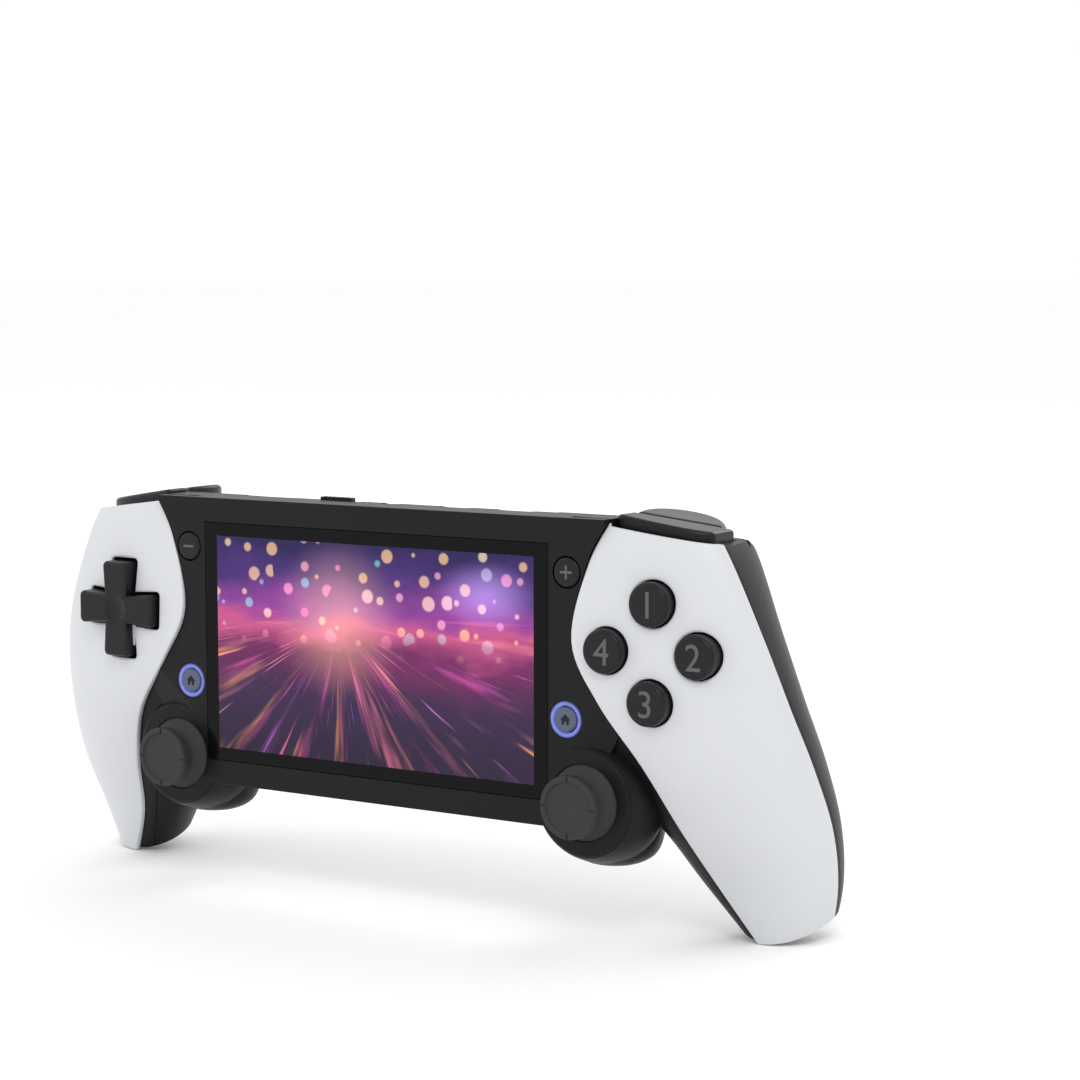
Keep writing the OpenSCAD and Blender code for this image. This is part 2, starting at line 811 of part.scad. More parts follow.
module front_shell()
    color(black)
        difference() {
            union() {
                difference() {
                    intersection() {
                        body_solid();
                        front_zone();
                    }
                    body_cavity();
                    both_sides() shoulder_opening();
                }
                both_sides()
                    intersection() {
                        front_bosses();
                        grip(wall / 2);
                    }
            }
            block(-lens_w / 2 - seam, lens_w / 2 + seam, -1, lens_t + 0.05, -lens_h / 2 - seam, lens_h / 2 + seam);
            block(-view_w / 2 - 1, view_w / 2 + 1, -1, wall + 1, -view_h / 2 - 1, view_h / 2 + 1);
            plate_openings();
            both_sides()
                translate([stick_x, stick_pivot_y, stick_z])
                    sphere(r = bowl_r + bowl_gap);
            dpad_opening();
            for (p = button_places)
                key_opening(group_x + p.x, group_z + p.y, button_seat(group_x + p.x, group_z + p.y), button_r);
            both_sides() screw_pilots();
            top_openings();
        }

module rear_shell()
    color(black)
        difference() {
            union() {
                difference() {
                    body_solid();
                    front_zone();
                    body_cavity();
                    both_sides() shoulder_opening();
                }
                both_sides()
                    intersection() {
                        union() {
                            rear_tubes();
                            shoulder_ribs();
                        }
                        grip(wall / 2);
                    }
                both_sides() stick_posts();
                rear_posts();
            }
            both_sides() screw_bores();
            both_sides() shoulder_frame() pin_bore(pin_r);
            top_openings();
            grilles();
        }

module cover_blank()
    difference() {
        loft([for (row = ring_rows) cover_outline(row)], ring_heights);
        below_grip_end(0);
        above_bumper(-0.4);
    }

module right_cover()
    color(white)
        difference() {
            cover_blank();
            for (p = button_places)
                rod_y(group_x + p.x, group_z + p.y, -10, 12, button_r + key_gap);
        }

module left_cover()
    color(white)
        difference() {
            mirror([1, 0, 0])
                cover_blank();
            cross(-10, 12, dpad_gap);
        }

module screen_lens()
    color(dark)
        block(-lens_w / 2, lens_w / 2, 0, lens_t, -lens_h / 2, lens_h / 2);

module lcd_panel()
    color(metal)
        block(-view_w / 2 - lcd_rim, view_w / 2 + lcd_rim, lcd_y, lcd_y + lcd_t,
            -view_h / 2 - lcd_rim - 2, view_h / 2 + lcd_rim);

module battery()
    color(grey)
        block(-battery_w / 2, battery_w / 2, battery_y, board_y - battery_gap,
            battery_z - battery_h / 2, battery_z + battery_h / 2);

wing_x = side_x + 35;
wing_z = [-8.5, 20.5];
module main_board()
    color(green) {
        difference() {
            union() {
                block(-slab_x + 3, slab_x - 3, board_y, board_y + board_t, wall + 1.6 - half_h, board_top);
                block(-wing_x, wing_x, board_y, board_y + board_t, wing_z[0], wing_z[1]);
            }
            both_sides() rod_y(stick_x, stick_z, 0, 30, bowl_r + 2);
            both_sides() rod_y(screw_places[0][0], screw_places[0][1], 0, 30, tube_r + key_gap);
            block(card_x - 8, card_x + 8, 0, 30, board_top - 12, 60);
            block(jack_x - 3.6, jack_x + 3.6, 0, 30, board_top - 12, 60);
            block(usb_x - 5, usb_x + 5, 0, 30, board_top - 6, 60);
            block(picture_x - 6.4, picture_x + 6.4, 0, 30, board_top - 6, 60);
            block(knob_x - 7.2, knob_x + 9.5, 0, 30, board_top - 3, 60);
        }
        both_sides() rod_y(option_x - 4, option_z, board_y - 1, board_y, 1.5);
    }

module speaker(side)
    color(dark)
        block(side * grille_x - grille_len / 2, side * grille_x + grille_len / 2,
            board_y + board_t + 0.2, body_t - wall - 0.3, grille_z - 5, grille_z + 5);
module left_speaker() speaker(-1);
module right_speaker() speaker(1);

module dpad()
    color(grey)
        difference() {
            union() {
                dpad_cap();
                cross(dpad_flange_y, dpad_flange_y + 0.8, dpad_flange);
                for (a = [0:90:270])
                    rod_y(-group_x + dome_ring * cos(a), group_z + dome_ring * sin(a), dpad_flange_y, stem_y, 1.6);
            }
            translate([-group_x, dpad_pivot_y, group_z])
                sphere(r = ball_r + pivot_fit);
            rod_y(-group_x, group_z, dpad_pivot_y, stem_y + 1, ball_r + pivot_fit);
        }

module dpad_rocker()
    color(grey) {
        translate([-group_x, dpad_pivot_y, group_z])
            sphere(r = ball_r);
        rod_y(-group_x, group_z, dpad_pivot_y, stem_y + 0.4, 1.2);
    }

module membrane_sheet(x)
    difference() {
        rod_y(x, group_z, sheet_y, board_y, button_pitch + 2.9);
        rod_y(sign(x) * screw_places[0][0], screw_places[0][1], 0, 30, tube_r + key_gap);
    }
module dpad_membrane()
    color(rubber) {
        membrane_sheet(-group_x);
        for (a = [0:90:270])
            rod_y(-group_x + dome_ring * cos(a), group_z + dome_ring * sin(a), dome_y, sheet_y, dome_r);
        rod_y(-group_x, group_z, stem_y + 0.4 + pillar_gap, sheet_y, 1.8);
    }
module button_membrane()
    color(rubber) {
        membrane_sheet(group_x);
        for (p = button_places)
            rod_y(group_x + p.x, group_z + p.y, dome_y, sheet_y, dome_r);
    }

module face_button_top() color(grey) face_button(0);
module face_button_right() color(grey) face_button(1);
module face_button_bottom() color(grey) face_button(2);
module face_button_left() color(grey) face_button(3);

module option_button(side)
    color(grey)
        round_key(side * option_x, option_z, option_face, plate_seat, option_d / 2, plate_stem_y);
module minus_button() option_button(-1);
module plus_button() option_button(1);

module home_button(side)
    color(grey)
        round_key(side * home_x, home_z, option_face, plate_seat, home_r, plate_stem_y);
module left_home_button() home_button(-1);
module right_home_button() home_button(1);

module home_ring(side)
    color(glow)
        difference() {
            rod_y(side * home_x, home_z, -0.1, plate_seat, ring_r);
            rod_y(side * home_x, home_z, -1, plate_seat + 1, home_r + key_gap);
        }
module left_home_ring() home_ring(-1);
module right_home_ring() home_ring(1);

module at_stick(side)
    translate([side * stick_x, stick_pivot_y, stick_z])
        children();

fork_in = cross_pin_r + 1.2;
fork_out = fork_in + fork_t;
ear_in = fork_out + 0.9;
ear_out = ear_in + ear_t;
module stick_cap(side)
    color(dark)
        at_stick(side) {
            difference() {
                rotate([-90, 0, 0])
                    rotate_extrude()
                        polygon(concat(
                            [[0, dish_d - stick_proud - stick_pivot_y]],
                            [[stick_r - 2 * rim_w, dish_d / 2 - stick_proud - stick_pivot_y]],
                            [[stick_r - rim_w, -stick_proud - stick_pivot_y]],
                            arc([stick_r - edge_r, edge_r - stick_proud - stick_pivot_y], edge_r, -90, 0, 4),
                            arc([stick_r - edge_r, cap_t - edge_r - stick_proud - stick_pivot_y], edge_r, 0, 90, 4),
                            [[neck_r, cap_t + 0.2 - stick_proud - stick_pivot_y]],
                            arc([0, 0], bowl_r, asin(neck_r / bowl_r) - 90, bowl_angle - 90, 12),
                            arc([0, 0], bowl_r - bowl_t, bowl_angle - 90, asin(2.4 / bowl_r) - 90, 12),
                            [[2.4, -fork_in - 1], [0, -fork_in - 1]]
                        ));
                for (a = [0:90:270])
                    rotate([0, a, 0])
                        block(-notch_w / 2, notch_w / 2, -stick_proud - stick_pivot_y - 1,
                            notch_d - stick_proud - stick_pivot_y, stick_r - rim_w - 0.1, stick_r + 1);
            }
            difference() {
                block(-2.2, 2.2, -fork_in - 3, 2.2, -fork_out, fork_out);
                block(-3, 3, -fork_in, 4, -fork_in, fork_in);
                translate([0, 0, -fork_out - 1])
                    cylinder(h = 2 * fork_out + 2, r = cross_pin_r + pivot_fit);
            }
        }
module left_stick_cap() stick_cap(-1);
module right_stick_cap() stick_cap(1);

module stick_yoke(side)
    color(metal)
        at_stick(side) {
            translate([0, 0, -fork_out])
                cylinder(h = 2 * fork_out, r = cross_pin_r);
            rotate([0, 90, 0])
                translate([0, 0, -ear_out])
                    cylinder(h = 2 * ear_out, r = cross_pin_r);
        }
module left_stick_yoke() stick_yoke(-1);
module right_stick_yoke() stick_yoke(1);

module stick_base(side)
    color(metal)
        at_stick(side) {
            block(-base_w / 2, base_w / 2, base_top - stick_pivot_y, base_bottom - stick_pivot_y,
                -base_w / 2, base_w / 2);
            rotate([-90, 0, 0])
                translate([0, 0, base_bottom - stick_pivot_y])
                    cylinder(h = carrier_t, r = carrier_r);
            difference() {
                for (s = [-1, 1])
                    block(min(s * ear_in, s * ear_out), max(s * ear_in, s * ear_out),
                        -cross_pin_r - 1, base_top - stick_pivot_y + 0.5, -2.2, 2.2);
                rotate([0, 90, 0])
                    translate([0, 0, -ear_out - 1])
                        cylinder(h = 2 * ear_out + 2, r = cross_pin_r + pivot_fit);
            }
        }
module left_stick_base() stick_base(-1);
module right_stick_base() stick_base(1);

module right_bumper() color(grey) bumper();
module left_bumper() color(grey) mirror([1, 0, 0]) bumper();
module right_trigger() color(grey) trigger();
module left_trigger() color(grey) mirror([1, 0, 0]) trigger();
module right_trigger_pin() color(metal) trigger_pin();
module left_trigger_pin() color(metal) mirror([1, 0, 0]) trigger_pin();
module right_shoulder_board() color(green) shoulder_board();
module left_shoulder_board() color(green) mirror([1, 0, 0]) shoulder_board();

groove_count = 6;
groove_w = 0.6;
groove_d = 0.4;
module power_switch()
    color(dark) {
        difference() {
            block(knob_x - knob_len / 2, knob_x + knob_len / 2, socket_y - knob_w / 2, socket_y + knob_w / 2,
                half_h - wall - 2, half_h + knob_proud);
            for (i = [1:groove_count])
                block(knob_x - knob_len / 2 + i * knob_len / (groove_count + 1) - groove_w / 2,
                    knob_x - knob_len / 2 + i * knob_len / (groove_count + 1) + groove_w / 2,
                    socket_y - knob_w, socket_y + knob_w,
                    half_h + knob_proud - groove_d, half_h + knob_proud + 1);
        }
        block(knob_x - knob_len / 2 - 1.5, knob_x + knob_len / 2 + 1.5, socket_y - 1.6, socket_y + 1.6,
            half_h - wall - 2, half_h - wall - 1);
    }

module card_reader()
    color(metal)
        difference() {
            block(card_x - 7.5, card_x + 7.5, socket_y - 1.4, socket_y + 1.4, board_top - 11.5, half_h - wall - 0.6);
            block(card_x - card_w / 2, card_x + card_w / 2, socket_y - 0.5, socket_y + 0.5, board_top - 10, 60);
        }

module headphone_jack()
    color(dark)
        difference() {
            union() {
                block(jack_x - 3.2, jack_x + 3.2, socket_y - 3, socket_y + 3, board_top - 11.5, half_h - wall - 3);
                translate([jack_x, socket_y, board_top - 5])
                    cylinder(h = socket_top - board_top + 5, r = jack_nose_r);
            }
            translate([jack_x, socket_y, socket_top - 14])
                cylinder(h = 20, r = jack_r);
        }

module port(x, w, t, depth, tongue_w, tongue_t)
    color(metal) {
        difference() {
            translate([x, socket_y, socket_top - depth])
                linear_extrude(depth)
                    stadium(w, t);
            translate([x, socket_y, socket_top - depth + 1])
                linear_extrude(depth)
                    stadium(w - 2 * socket_wall, t - 2 * socket_wall);
        }
        block(x - tongue_w / 2, x + tongue_w / 2, socket_y - tongue_t / 2, socket_y + tongue_t / 2,
            socket_top - depth + 0.5, socket_top - 0.8);
    }
module usb_port() port(usb_x, usb_w, usb_t, 7.3, 6.7, 0.7);
module picture_port() port(picture_x, picture_w, picture_t, 7.5, 8, 0.8);

module case_screws()
    color(metal)
        both_sides()
            for (s = screw_places) {
                rod_y(s[0], s[1], s[3] - 9, s[3] + 0.1, screw_r);
                rod_y(s[0], s[1], s[3], s[3] + screw_head_t, screw_head_r);
            }

module in_place()
    translate([0, -mid_y, grip_drop])
        children();

in_place() front_shell();
in_place() rear_shell();
in_place() left_cover();
in_place() right_cover();
in_place() screen_lens();
in_place() lcd_panel();
in_place() main_board();
in_place() battery();
in_place() left_speaker();
in_place() right_speaker();
in_place() dpad();
in_place() dpad_rocker();
in_place() dpad_membrane();
in_place() button_membrane();
in_place() face_button_top();
in_place() face_button_right();
in_place() face_button_bottom();
in_place() face_button_left();
in_place() minus_button();
in_place() plus_button();
in_place() left_home_button();
in_place() right_home_button();
in_place() left_home_ring();
in_place() right_home_ring();
in_place() left_stick_base();
in_place() right_stick_base();
in_place() left_stick_yoke();
in_place() right_stick_yoke();
in_place() left_stick_cap();
in_place() right_stick_cap();
in_place() left_bumper();
in_place() right_bumper();
in_place() left_trigger();
in_place() right_trigger();
in_place() left_trigger_pin();
in_place() right_trigger_pin();
in_place() left_shoulder_board();
in_place() right_shoulder_board();
in_place() power_switch();
in_place() card_reader();
in_place() headphone_jack();
in_place() usb_port();
in_place() picture_port();
in_place() case_screws();
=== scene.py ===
"""Looks of a handheld game console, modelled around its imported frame."""

import math

import bmesh
import bpy
import numpy as np
from mathutils import Matrix, Vector


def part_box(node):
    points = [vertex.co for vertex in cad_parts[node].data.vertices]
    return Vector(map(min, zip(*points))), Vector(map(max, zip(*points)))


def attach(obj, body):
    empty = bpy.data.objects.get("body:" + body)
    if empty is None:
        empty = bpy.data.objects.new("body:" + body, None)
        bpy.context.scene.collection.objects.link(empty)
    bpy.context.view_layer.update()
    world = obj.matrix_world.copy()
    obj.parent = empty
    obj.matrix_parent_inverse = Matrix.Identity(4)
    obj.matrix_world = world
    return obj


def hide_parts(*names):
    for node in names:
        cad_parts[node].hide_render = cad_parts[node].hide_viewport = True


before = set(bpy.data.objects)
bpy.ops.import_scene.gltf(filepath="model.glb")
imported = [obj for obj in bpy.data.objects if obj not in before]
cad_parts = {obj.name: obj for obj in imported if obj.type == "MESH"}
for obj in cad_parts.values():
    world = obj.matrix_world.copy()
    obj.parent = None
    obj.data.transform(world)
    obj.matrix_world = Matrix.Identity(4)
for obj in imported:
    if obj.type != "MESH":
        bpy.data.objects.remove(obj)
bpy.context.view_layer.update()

bl_info = {
    "name": "Handheld console looks",
    "version": (1, 0, 0),
    "blender": (4, 5, 0),
    "location": "3D View > Sidebar > Console",
    "description": "Builds the shells, covers, keys, sticks and screen of a handheld console",
    "category": "Object",
}

MM = 0.001


def length(name, description, default, low, high):
    """A length property, given in millimetres."""
    return bpy.props.FloatProperty(name=name, description=description, default=default * MM,
                                   min=low * MM, max=high * MM, unit="LENGTH")


def paint(name, description, *default):
    """A colour property."""
    return bpy.props.FloatVectorProperty(name=name, description=description, default=default,
                                         size=3, min=0, max=1, subtype="COLOR")


class ConsoleSizes(bpy.types.PropertyGroup):
    """Sizes that finish the pieces."""

    key_bevel: length("Key bevel", "Rounding of the edges of the shoulder keys", 0.9, 0.1, 1.0)
    plate_bevel: length("Plate bevel", "Rounding of the front plate's outer edge", 0.5, 0.1, 1.0)
    cover_round: length("Cover rounding", "Rounding of a cover's edge along the plate", 0.5, 0.1, 0.6)
    parting: length("Parting line", "Width of the line between the two shells", 0.18, 0.05, 0.4)
    mark_height: length("Mark height", "Height of the figures on the face buttons", 6.2, 3.0, 8.0)
    mark_depth: length("Mark thickness", "Thickness of a printed mark", 0.04, 0.01, 0.2)
    knob_ridges: bpy.props.IntProperty(
        name="Knob ridges", description="Number of grooves across the power switch",
        default=6, min=2, max=9)


class ConsoleColours(bpy.types.PropertyGroup):
    """Colours of the finishes."""

    shell: paint("Shell", "Matt plastic of the shells", 0.0052, 0.0053, 0.0061)
    cover: paint("Cover", "Satin plastic of the two grip covers", 0.575, 0.588, 0.612)
    key: paint("Keys", "Plastic of the buttons and the direction pad", 0.0062, 0.0064, 0.0073)
    mark: paint("Marks", "Print on the keys", 0.072, 0.075, 0.083)
    rubber: paint("Stick rubber", "Rubber of the thumbsticks", 0.0042, 0.0043, 0.0049)
    home: paint("Home buttons", "Grey-blue plastic of the home buttons", 0.075, 0.085, 0.135)
    ring: paint("Light rings", "Light of the rings round the home buttons", 0.19, 0.235, 0.70)
    inner: paint("Inner plastic", "Plastic of the parts inside", 0.035, 0.035, 0.037)
    membrane: paint("Membranes", "Silicone under the keys", 0.30, 0.31, 0.32)
    floor: paint("Floor", "Pale floor of the stage", 0.97, 0.97, 0.972)


def sizes():
    return bpy.context.scene.console_sizes


def colours():
    return bpy.context.scene.console_colours


# Meshes are shaped in millimetres with the screen centre at zero, as the solids are drawn.

lens_low, lens_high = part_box("screen_lens")
LENS_HALF_W = lens_high.x / MM
LENS_HALF_H = (lens_high.z - lens_low.z) / 2 / MM
BORDER_W, BORDER_H = 3.8, 3.25
VIEW_HALF_W = LENS_HALF_W - BORDER_W
VIEW_HALF_H = LENS_HALF_H - BORDER_H
SCREEN_Z = (lens_high.z + lens_low.z) / 2 / MM
PLATE_Y = lens_low.y / MM
TO_FRAME = Matrix.Scale(MM, 4) @ Matrix.Translation((0, PLATE_Y, SCREEN_Z))


def solid(bm, name="part"):
    """An object in the scene from a mesh that is being shaped."""
    mesh = bpy.data.meshes.new(name)
    bm.to_mesh(mesh)
    bm.free()
    piece = bpy.data.objects.new(name, mesh)
    bpy.context.scene.collection.objects.link(piece)
    return piece


def block(x0, x1, y0, y1, z0, z1):
    bm = bmesh.new()
    bmesh.ops.create_cube(bm, size=1)
    bmesh.ops.scale(bm, vec=(x1 - x0, y1 - y0, z1 - z0), verts=bm.verts)
    bmesh.ops.translate(bm, vec=((x0 + x1) / 2, (y0 + y1) / 2, (z0 + z1) / 2), verts=bm.verts)
    return solid(bm)


def rod_y(x, z, y0, y1, r, r_end=None, steps=72):
    """A rod or cone along the depth of the console."""
    bm = bmesh.new()
    bmesh.ops.create_cone(bm, cap_ends=True, segments=steps, radius1=r,
                          radius2=r if r_end is None else r_end, depth=y1 - y0)
    bmesh.ops.rotate(bm, cent=(0, 0, 0), matrix=Matrix.Rotation(-math.pi / 2, 3, "X"), verts=bm.verts)
    bmesh.ops.translate(bm, vec=(x, (y0 + y1) / 2, z), verts=bm.verts)
    return solid(bm)


def ball(centre, r):
    bm = bmesh.new()
    bmesh.ops.create_uvsphere(bm, u_segments=96, v_segments=64, radius=r)
    bmesh.ops.rotate(bm, cent=(0, 0, 0), matrix=Matrix.Rotation(math.pi / 2, 3, "X"), verts=bm.verts)
    bmesh.ops.translate(bm, vec=centre, verts=bm.verts)
    return solid(bm)


def outline_face(bm, points):
    """One face on an outline, from a disc whose corners move to it."""
    made = bmesh.ops.create_circle(bm, cap_ends=True, segments=len(points), radius=1)
    for vert, point in zip(made["verts"], points):
        vert.co = point
    return made["verts"][0].link_faces[0]


def prism(points, axis, start, end):
    """A flat outline pushed along an axis. The points hold the other two values in order."""
    bm = bmesh.new()
    flat = [list(p)[:axis] + [start] + list(p)[axis:] for p in points]
    face = outline_face(bm, flat)
    pushed = bmesh.ops.extrude_face_region(bm, geom=[face])
    shift = [0, 0, 0]
    shift[axis] = end - start
    fresh = [v for v in pushed["geom"] if isinstance(v, bmesh.types.BMVert)]
    bmesh.ops.translate(bm, vec=shift, verts=fresh)
    bmesh.ops.remove_doubles(bm, verts=bm.verts, dist=1e-4)
    bmesh.ops.recalc_face_normals(bm, faces=bm.faces)
    return solid(bm)


def loft(rings):
    """A closed skin through rings with as many points each."""
    bm = bmesh.new()
    made = bmesh.ops.create_circle(bm, cap_ends=False, segments=len(rings[0]), radius=1)
    corners = made["verts"]
    for vert, point in zip(corners, rings[0]):
        vert.co = point
    for ring in rings[1:]:
        loop = dict.fromkeys(e for vert in corners for e in vert.link_edges if e.is_boundary or e.is_wire)
        pushed = bmesh.ops.extrude_edge_only(bm, edges=list(loop))
        fresh = {v for v in pushed["geom"] if isinstance(v, bmesh.types.BMVert)}
        following = []
        for vert in corners:
            near = (e.other_vert(vert) for e in vert.link_edges)
            following.append(next(v for v in near if v in fresh))
        for vert, point in zip(following, ring):
            vert.co = point
        corners = following
    bmesh.ops.holes_fill(bm, edges=[e for e in bm.edges if e.is_boundary], sides=0)
    bmesh.ops.recalc_face_normals(bm, faces=bm.faces)
    return solid(bm)


def turned(profile, axis, place, steps=96):
    """A profile of radius and height turned about an axis through a place."""
    bm = bmesh.new()
    axis = Vector(axis)
    corners = [bm.verts.new(Vector((r, 0, 0)) + axis * h) for r, h in profile]
    edges = [bm.edges.new(pair) for pair in zip(corners, corners[1:])]
    bmesh.ops.spin(bm, geom=corners + edges, cent=(0, 0, 0), axis=axis, angle=2 * math.pi,
                   steps=steps, use_merge=True)
    bmesh.ops.remove_doubles(bm, verts=bm.verts, dist=1e-4)
    bmesh.ops.recalc_face_normals(bm, faces=bm.faces)
    bmesh.ops.translate(bm, vec=place, verts=bm.verts)
    return solid(bm)


def turned_y(x, z, profile, steps=96):
    """A profile of radius and depth turned about an axis along the depth of the console."""
    return turned(profile, (0, 1, 0), (x, 0, z), steps)


def copy_of(piece):
    bm = bmesh.new()
    bm.from_mesh(piece.data)
    return solid(bm)


def mirrored(piece):
    """A second object on the other side of the console."""
    bm = bmesh.new()
    bm.from_mesh(piece.data)
    bmesh.ops.scale(bm, vec=(-1, 1, 1), verts=bm.verts)
    bmesh.ops.reverse_faces(bm, faces=bm.faces)
    return solid(bm)


def both_sides(pieces):
    return pieces + [mirrored(p) for p in pieces]


def moved(piece, matrix):
    piece.data.transform(matrix)
    return piece


def discard(pieces):
    for piece in pieces:
        mesh = piece.data
        bpy.data.objects.remove(piece)
        bpy.data.meshes.remove(mesh)


def combine(piece, operation, tools):
    """Joins, cuts or keeps what is common with each of the tools in turn, and clears the tools away."""
    for tool in tools:
        step = piece.modifiers.new("combine", "BOOLEAN")
        step.object = tool
        step.operation = operation
        step.solver = "MANIFOLD"
    bpy.context.view_layer.update()
    shown = piece.evaluated_get(bpy.context.evaluated_depsgraph_get())
    mesh = bpy.data.meshes.new_from_object(shown)
    if not mesh.polygons:
        raise RuntimeError("nothing is left of " + piece.name)
    piece.modifiers.clear()
    old = piece.data
    piece.data = mesh
    bpy.data.meshes.remove(old)
    discard(tools)
    return piece


def union(pieces):
    return combine(pieces[0], "UNION", pieces[1:])


def smooth(piece, angle=32):
    """Smooth faces that meet sharply only above an angle."""
    piece.data.shade_smooth()
    piece.data.set_sharp_from_angle(angle=math.radians(angle))


def round_edges(piece, width, angle=40, segments=3, keep=None):
    """Flat faces made whole and the sharp edges between them rounded, all or those that keep chooses."""
    bm = bmesh.new()
    bm.from_mesh(piece.data)
    bmesh.ops.remove_doubles(bm, verts=bm.verts, dist=1e-4)
    bmesh.ops.dissolve_limit(bm, angle_limit=math.radians(0.5), verts=bm.verts, edges=bm.edges)
    sharp = [e for e in bm.edges if len(e.link_faces) == 2 and e.calc_face_angle() > math.radians(angle)]
    if keep:
        sharp = [e for e in sharp if keep((e.verts[0].co + e.verts[1].co) / 2)]
    bmesh.ops.bevel(bm, geom=sharp, offset=width, segments=segments, profile=0.5, affect="EDGES",
                    clamp_overlap=True, material=-1)
    bmesh.ops.recalc_face_normals(bm, faces=bm.faces)
    bm.to_mesh(piece.data)
    bm.free()
    return piece


def finish_piece(piece, name, body, material, nodes=(), angle=32):
    """Moves a piece into the frame, smooths it, hangs it on the body it rides on and hides the parts it
    stands for.
    """
    piece.name = name
    piece.data.name = name
    piece.data.transform(TO_FRAME)
    smooth(piece, angle)
    piece.data.materials.clear()
    piece.data.materials.append(finish_of(material))
    even = piece.modifiers.new("even_normals", "WEIGHTED_NORMAL")
    even.keep_sharp = True
    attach(piece, body)
    if nodes:
        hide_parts(*nodes)
    return piece


# Finishes are node materials on Object coordinates, in metres.

def arithmetic(operation, swapped=False):
    """A method of Value that adds a Math node."""
    def method(self, *others):
        values = (*others, self) if swapped else (self, *others)
        return self.finish.add("ShaderNodeMath", {"operation": operation}, dict(enumerate(values)))
    return method


class Value:
    """A socket of a material, with arithmetic that adds Math nodes."""

    def __init__(self, finish, socket):
        self.finish = finish
        self.socket = socket

    __add__ = arithmetic("ADD")
    __radd__ = arithmetic("ADD", True)
    __sub__ = arithmetic("SUBTRACT")
    __rsub__ = arithmetic("SUBTRACT", True)
    __mul__ = arithmetic("MULTIPLY")
    __truediv__ = arithmetic("DIVIDE")
    __pow__ = arithmetic("POWER")
    __abs__ = arithmetic("ABSOLUTE")
    __gt__ = arithmetic("GREATER_THAN")
    __lt__ = arithmetic("LESS_THAN")

    def span(self, low, high):
        """0 at low, 1 at high and smooth between."""
        return self.finish.add(
            "ShaderNodeMapRange", {"interpolation_type": "SMOOTHSTEP"},
            {"Value": self, "From Min": low, "From Max": high})


class Finish:
    """A material that is put together from nodes."""

    def __init__(self, name, **fixed):
        self.material = bpy.data.materials.new(name)
        self.material.use_nodes = True
        self.tree = self.material.node_tree
        self.shader = self.tree.nodes["Principled BSDF"]
        self.set(**fixed)

    def add(self, kind, settings, sockets, output=0):
        """Any node: its type, its settings and then the values or links of its sockets."""
        node = self.tree.nodes.new(kind)
        for key, value in settings.items():
            if key == "stops":
                stops = node.color_ramp.elements
                for place, colour in value[len(stops):]:
                    stops.new(place)
                for stop, (place, colour) in zip(stops, value):
                    stop.position = place
                    stop.color = (*colour, 1)
            else:
                setattr(node, key, value)
        for key, value in sockets.items():
            self.feed(node.inputs[key], value)
        return Value(self, node.outputs[output])

    def feed(self, socket, value):
        if isinstance(value, Value):
            self.tree.links.new(value.socket, socket)
        elif hasattr(socket.default_value, "__len__") and len(value) == 3 and len(socket.default_value) == 4:
            socket.default_value = (*value, 1)
        else:
            socket.default_value = value

    def set(self, **inputs):
        for key, value in inputs.items():
            self.feed(self.shader.inputs[key.replace("_", " ")], value)

    def place(self):
        return self.add("ShaderNodeTexCoord", {}, {}, "Object")

    def axes(self, place):
        node = self.add("ShaderNodeSeparateXYZ", {}, {"Vector": place})
        return [Value(self, s) for s in node.socket.node.outputs]

    def vector(self, x, y, z):
        return self.add("ShaderNodeCombineXYZ", {}, {"X": x, "Y": y, "Z": z})

    def noise(self, place, scale, detail=2.0, roughness=0.5):
        return self.add("ShaderNodeTexNoise", {},
                        {"Vector": place, "Scale": scale, "Detail": detail, "Roughness": roughness})

    def blend(self, factor, a, b, mode="MIX"):
        """Two colours mixed by a factor."""
        return self.add("ShaderNodeMix", {"data_type": "RGBA", "blend_type": mode},
                        {"Factor": factor, 6: a, 7: b}, 2)

    def grain(self, height, depth, strength=1.0):
        """A height turned into a bump on the surface."""
        bump = self.add("ShaderNodeBump", {}, {"Strength": strength, "Distance": depth, "Height": height})
        self.set(Normal=bump)


def shade(colour, factor):
    return tuple(min(1, c * factor) for c in colour)


# Colour, roughness, size and depth of the grain in metres, mottle and fixed inputs of what is moulded
MOULDED = {
    "shell_plastic": ("shell", 0.38, 0.00022, 0.000016, 0.10, {"Specular_IOR_Level": 0.17}),
    "cover_plastic": ("cover", 0.40, 0.00026, 0.000012, 0.012,
                      {"Specular_IOR_Level": 0.45, "Coat_Weight": 0.08, "Coat_Roughness": 0.25}),
    "key_plastic": ("key", 0.30, 0.00018, 0.000008, 0.10, {"Specular_IOR_Level": 0.24}),
    "stick_rubber": ("rubber", 0.48, 0.00030, 0.000024, 0.14, {"Specular_IOR_Level": 0.18}),
    "home_plastic": ("home", 0.42, 0.00016, 0.000010, 0.08, {"Specular_IOR_Level": 0.4}),
    "mark_print": ("mark", 0.55, 0.00012, 0.000006, 0.10, {}),
    "inner_plastic": ("inner", 0.5, 0.00025, 0.000015, 0.12, {}),
    "membrane_silicone": ("membrane", 0.58, 0.00030, 0.000020, 0.06, {}),
}


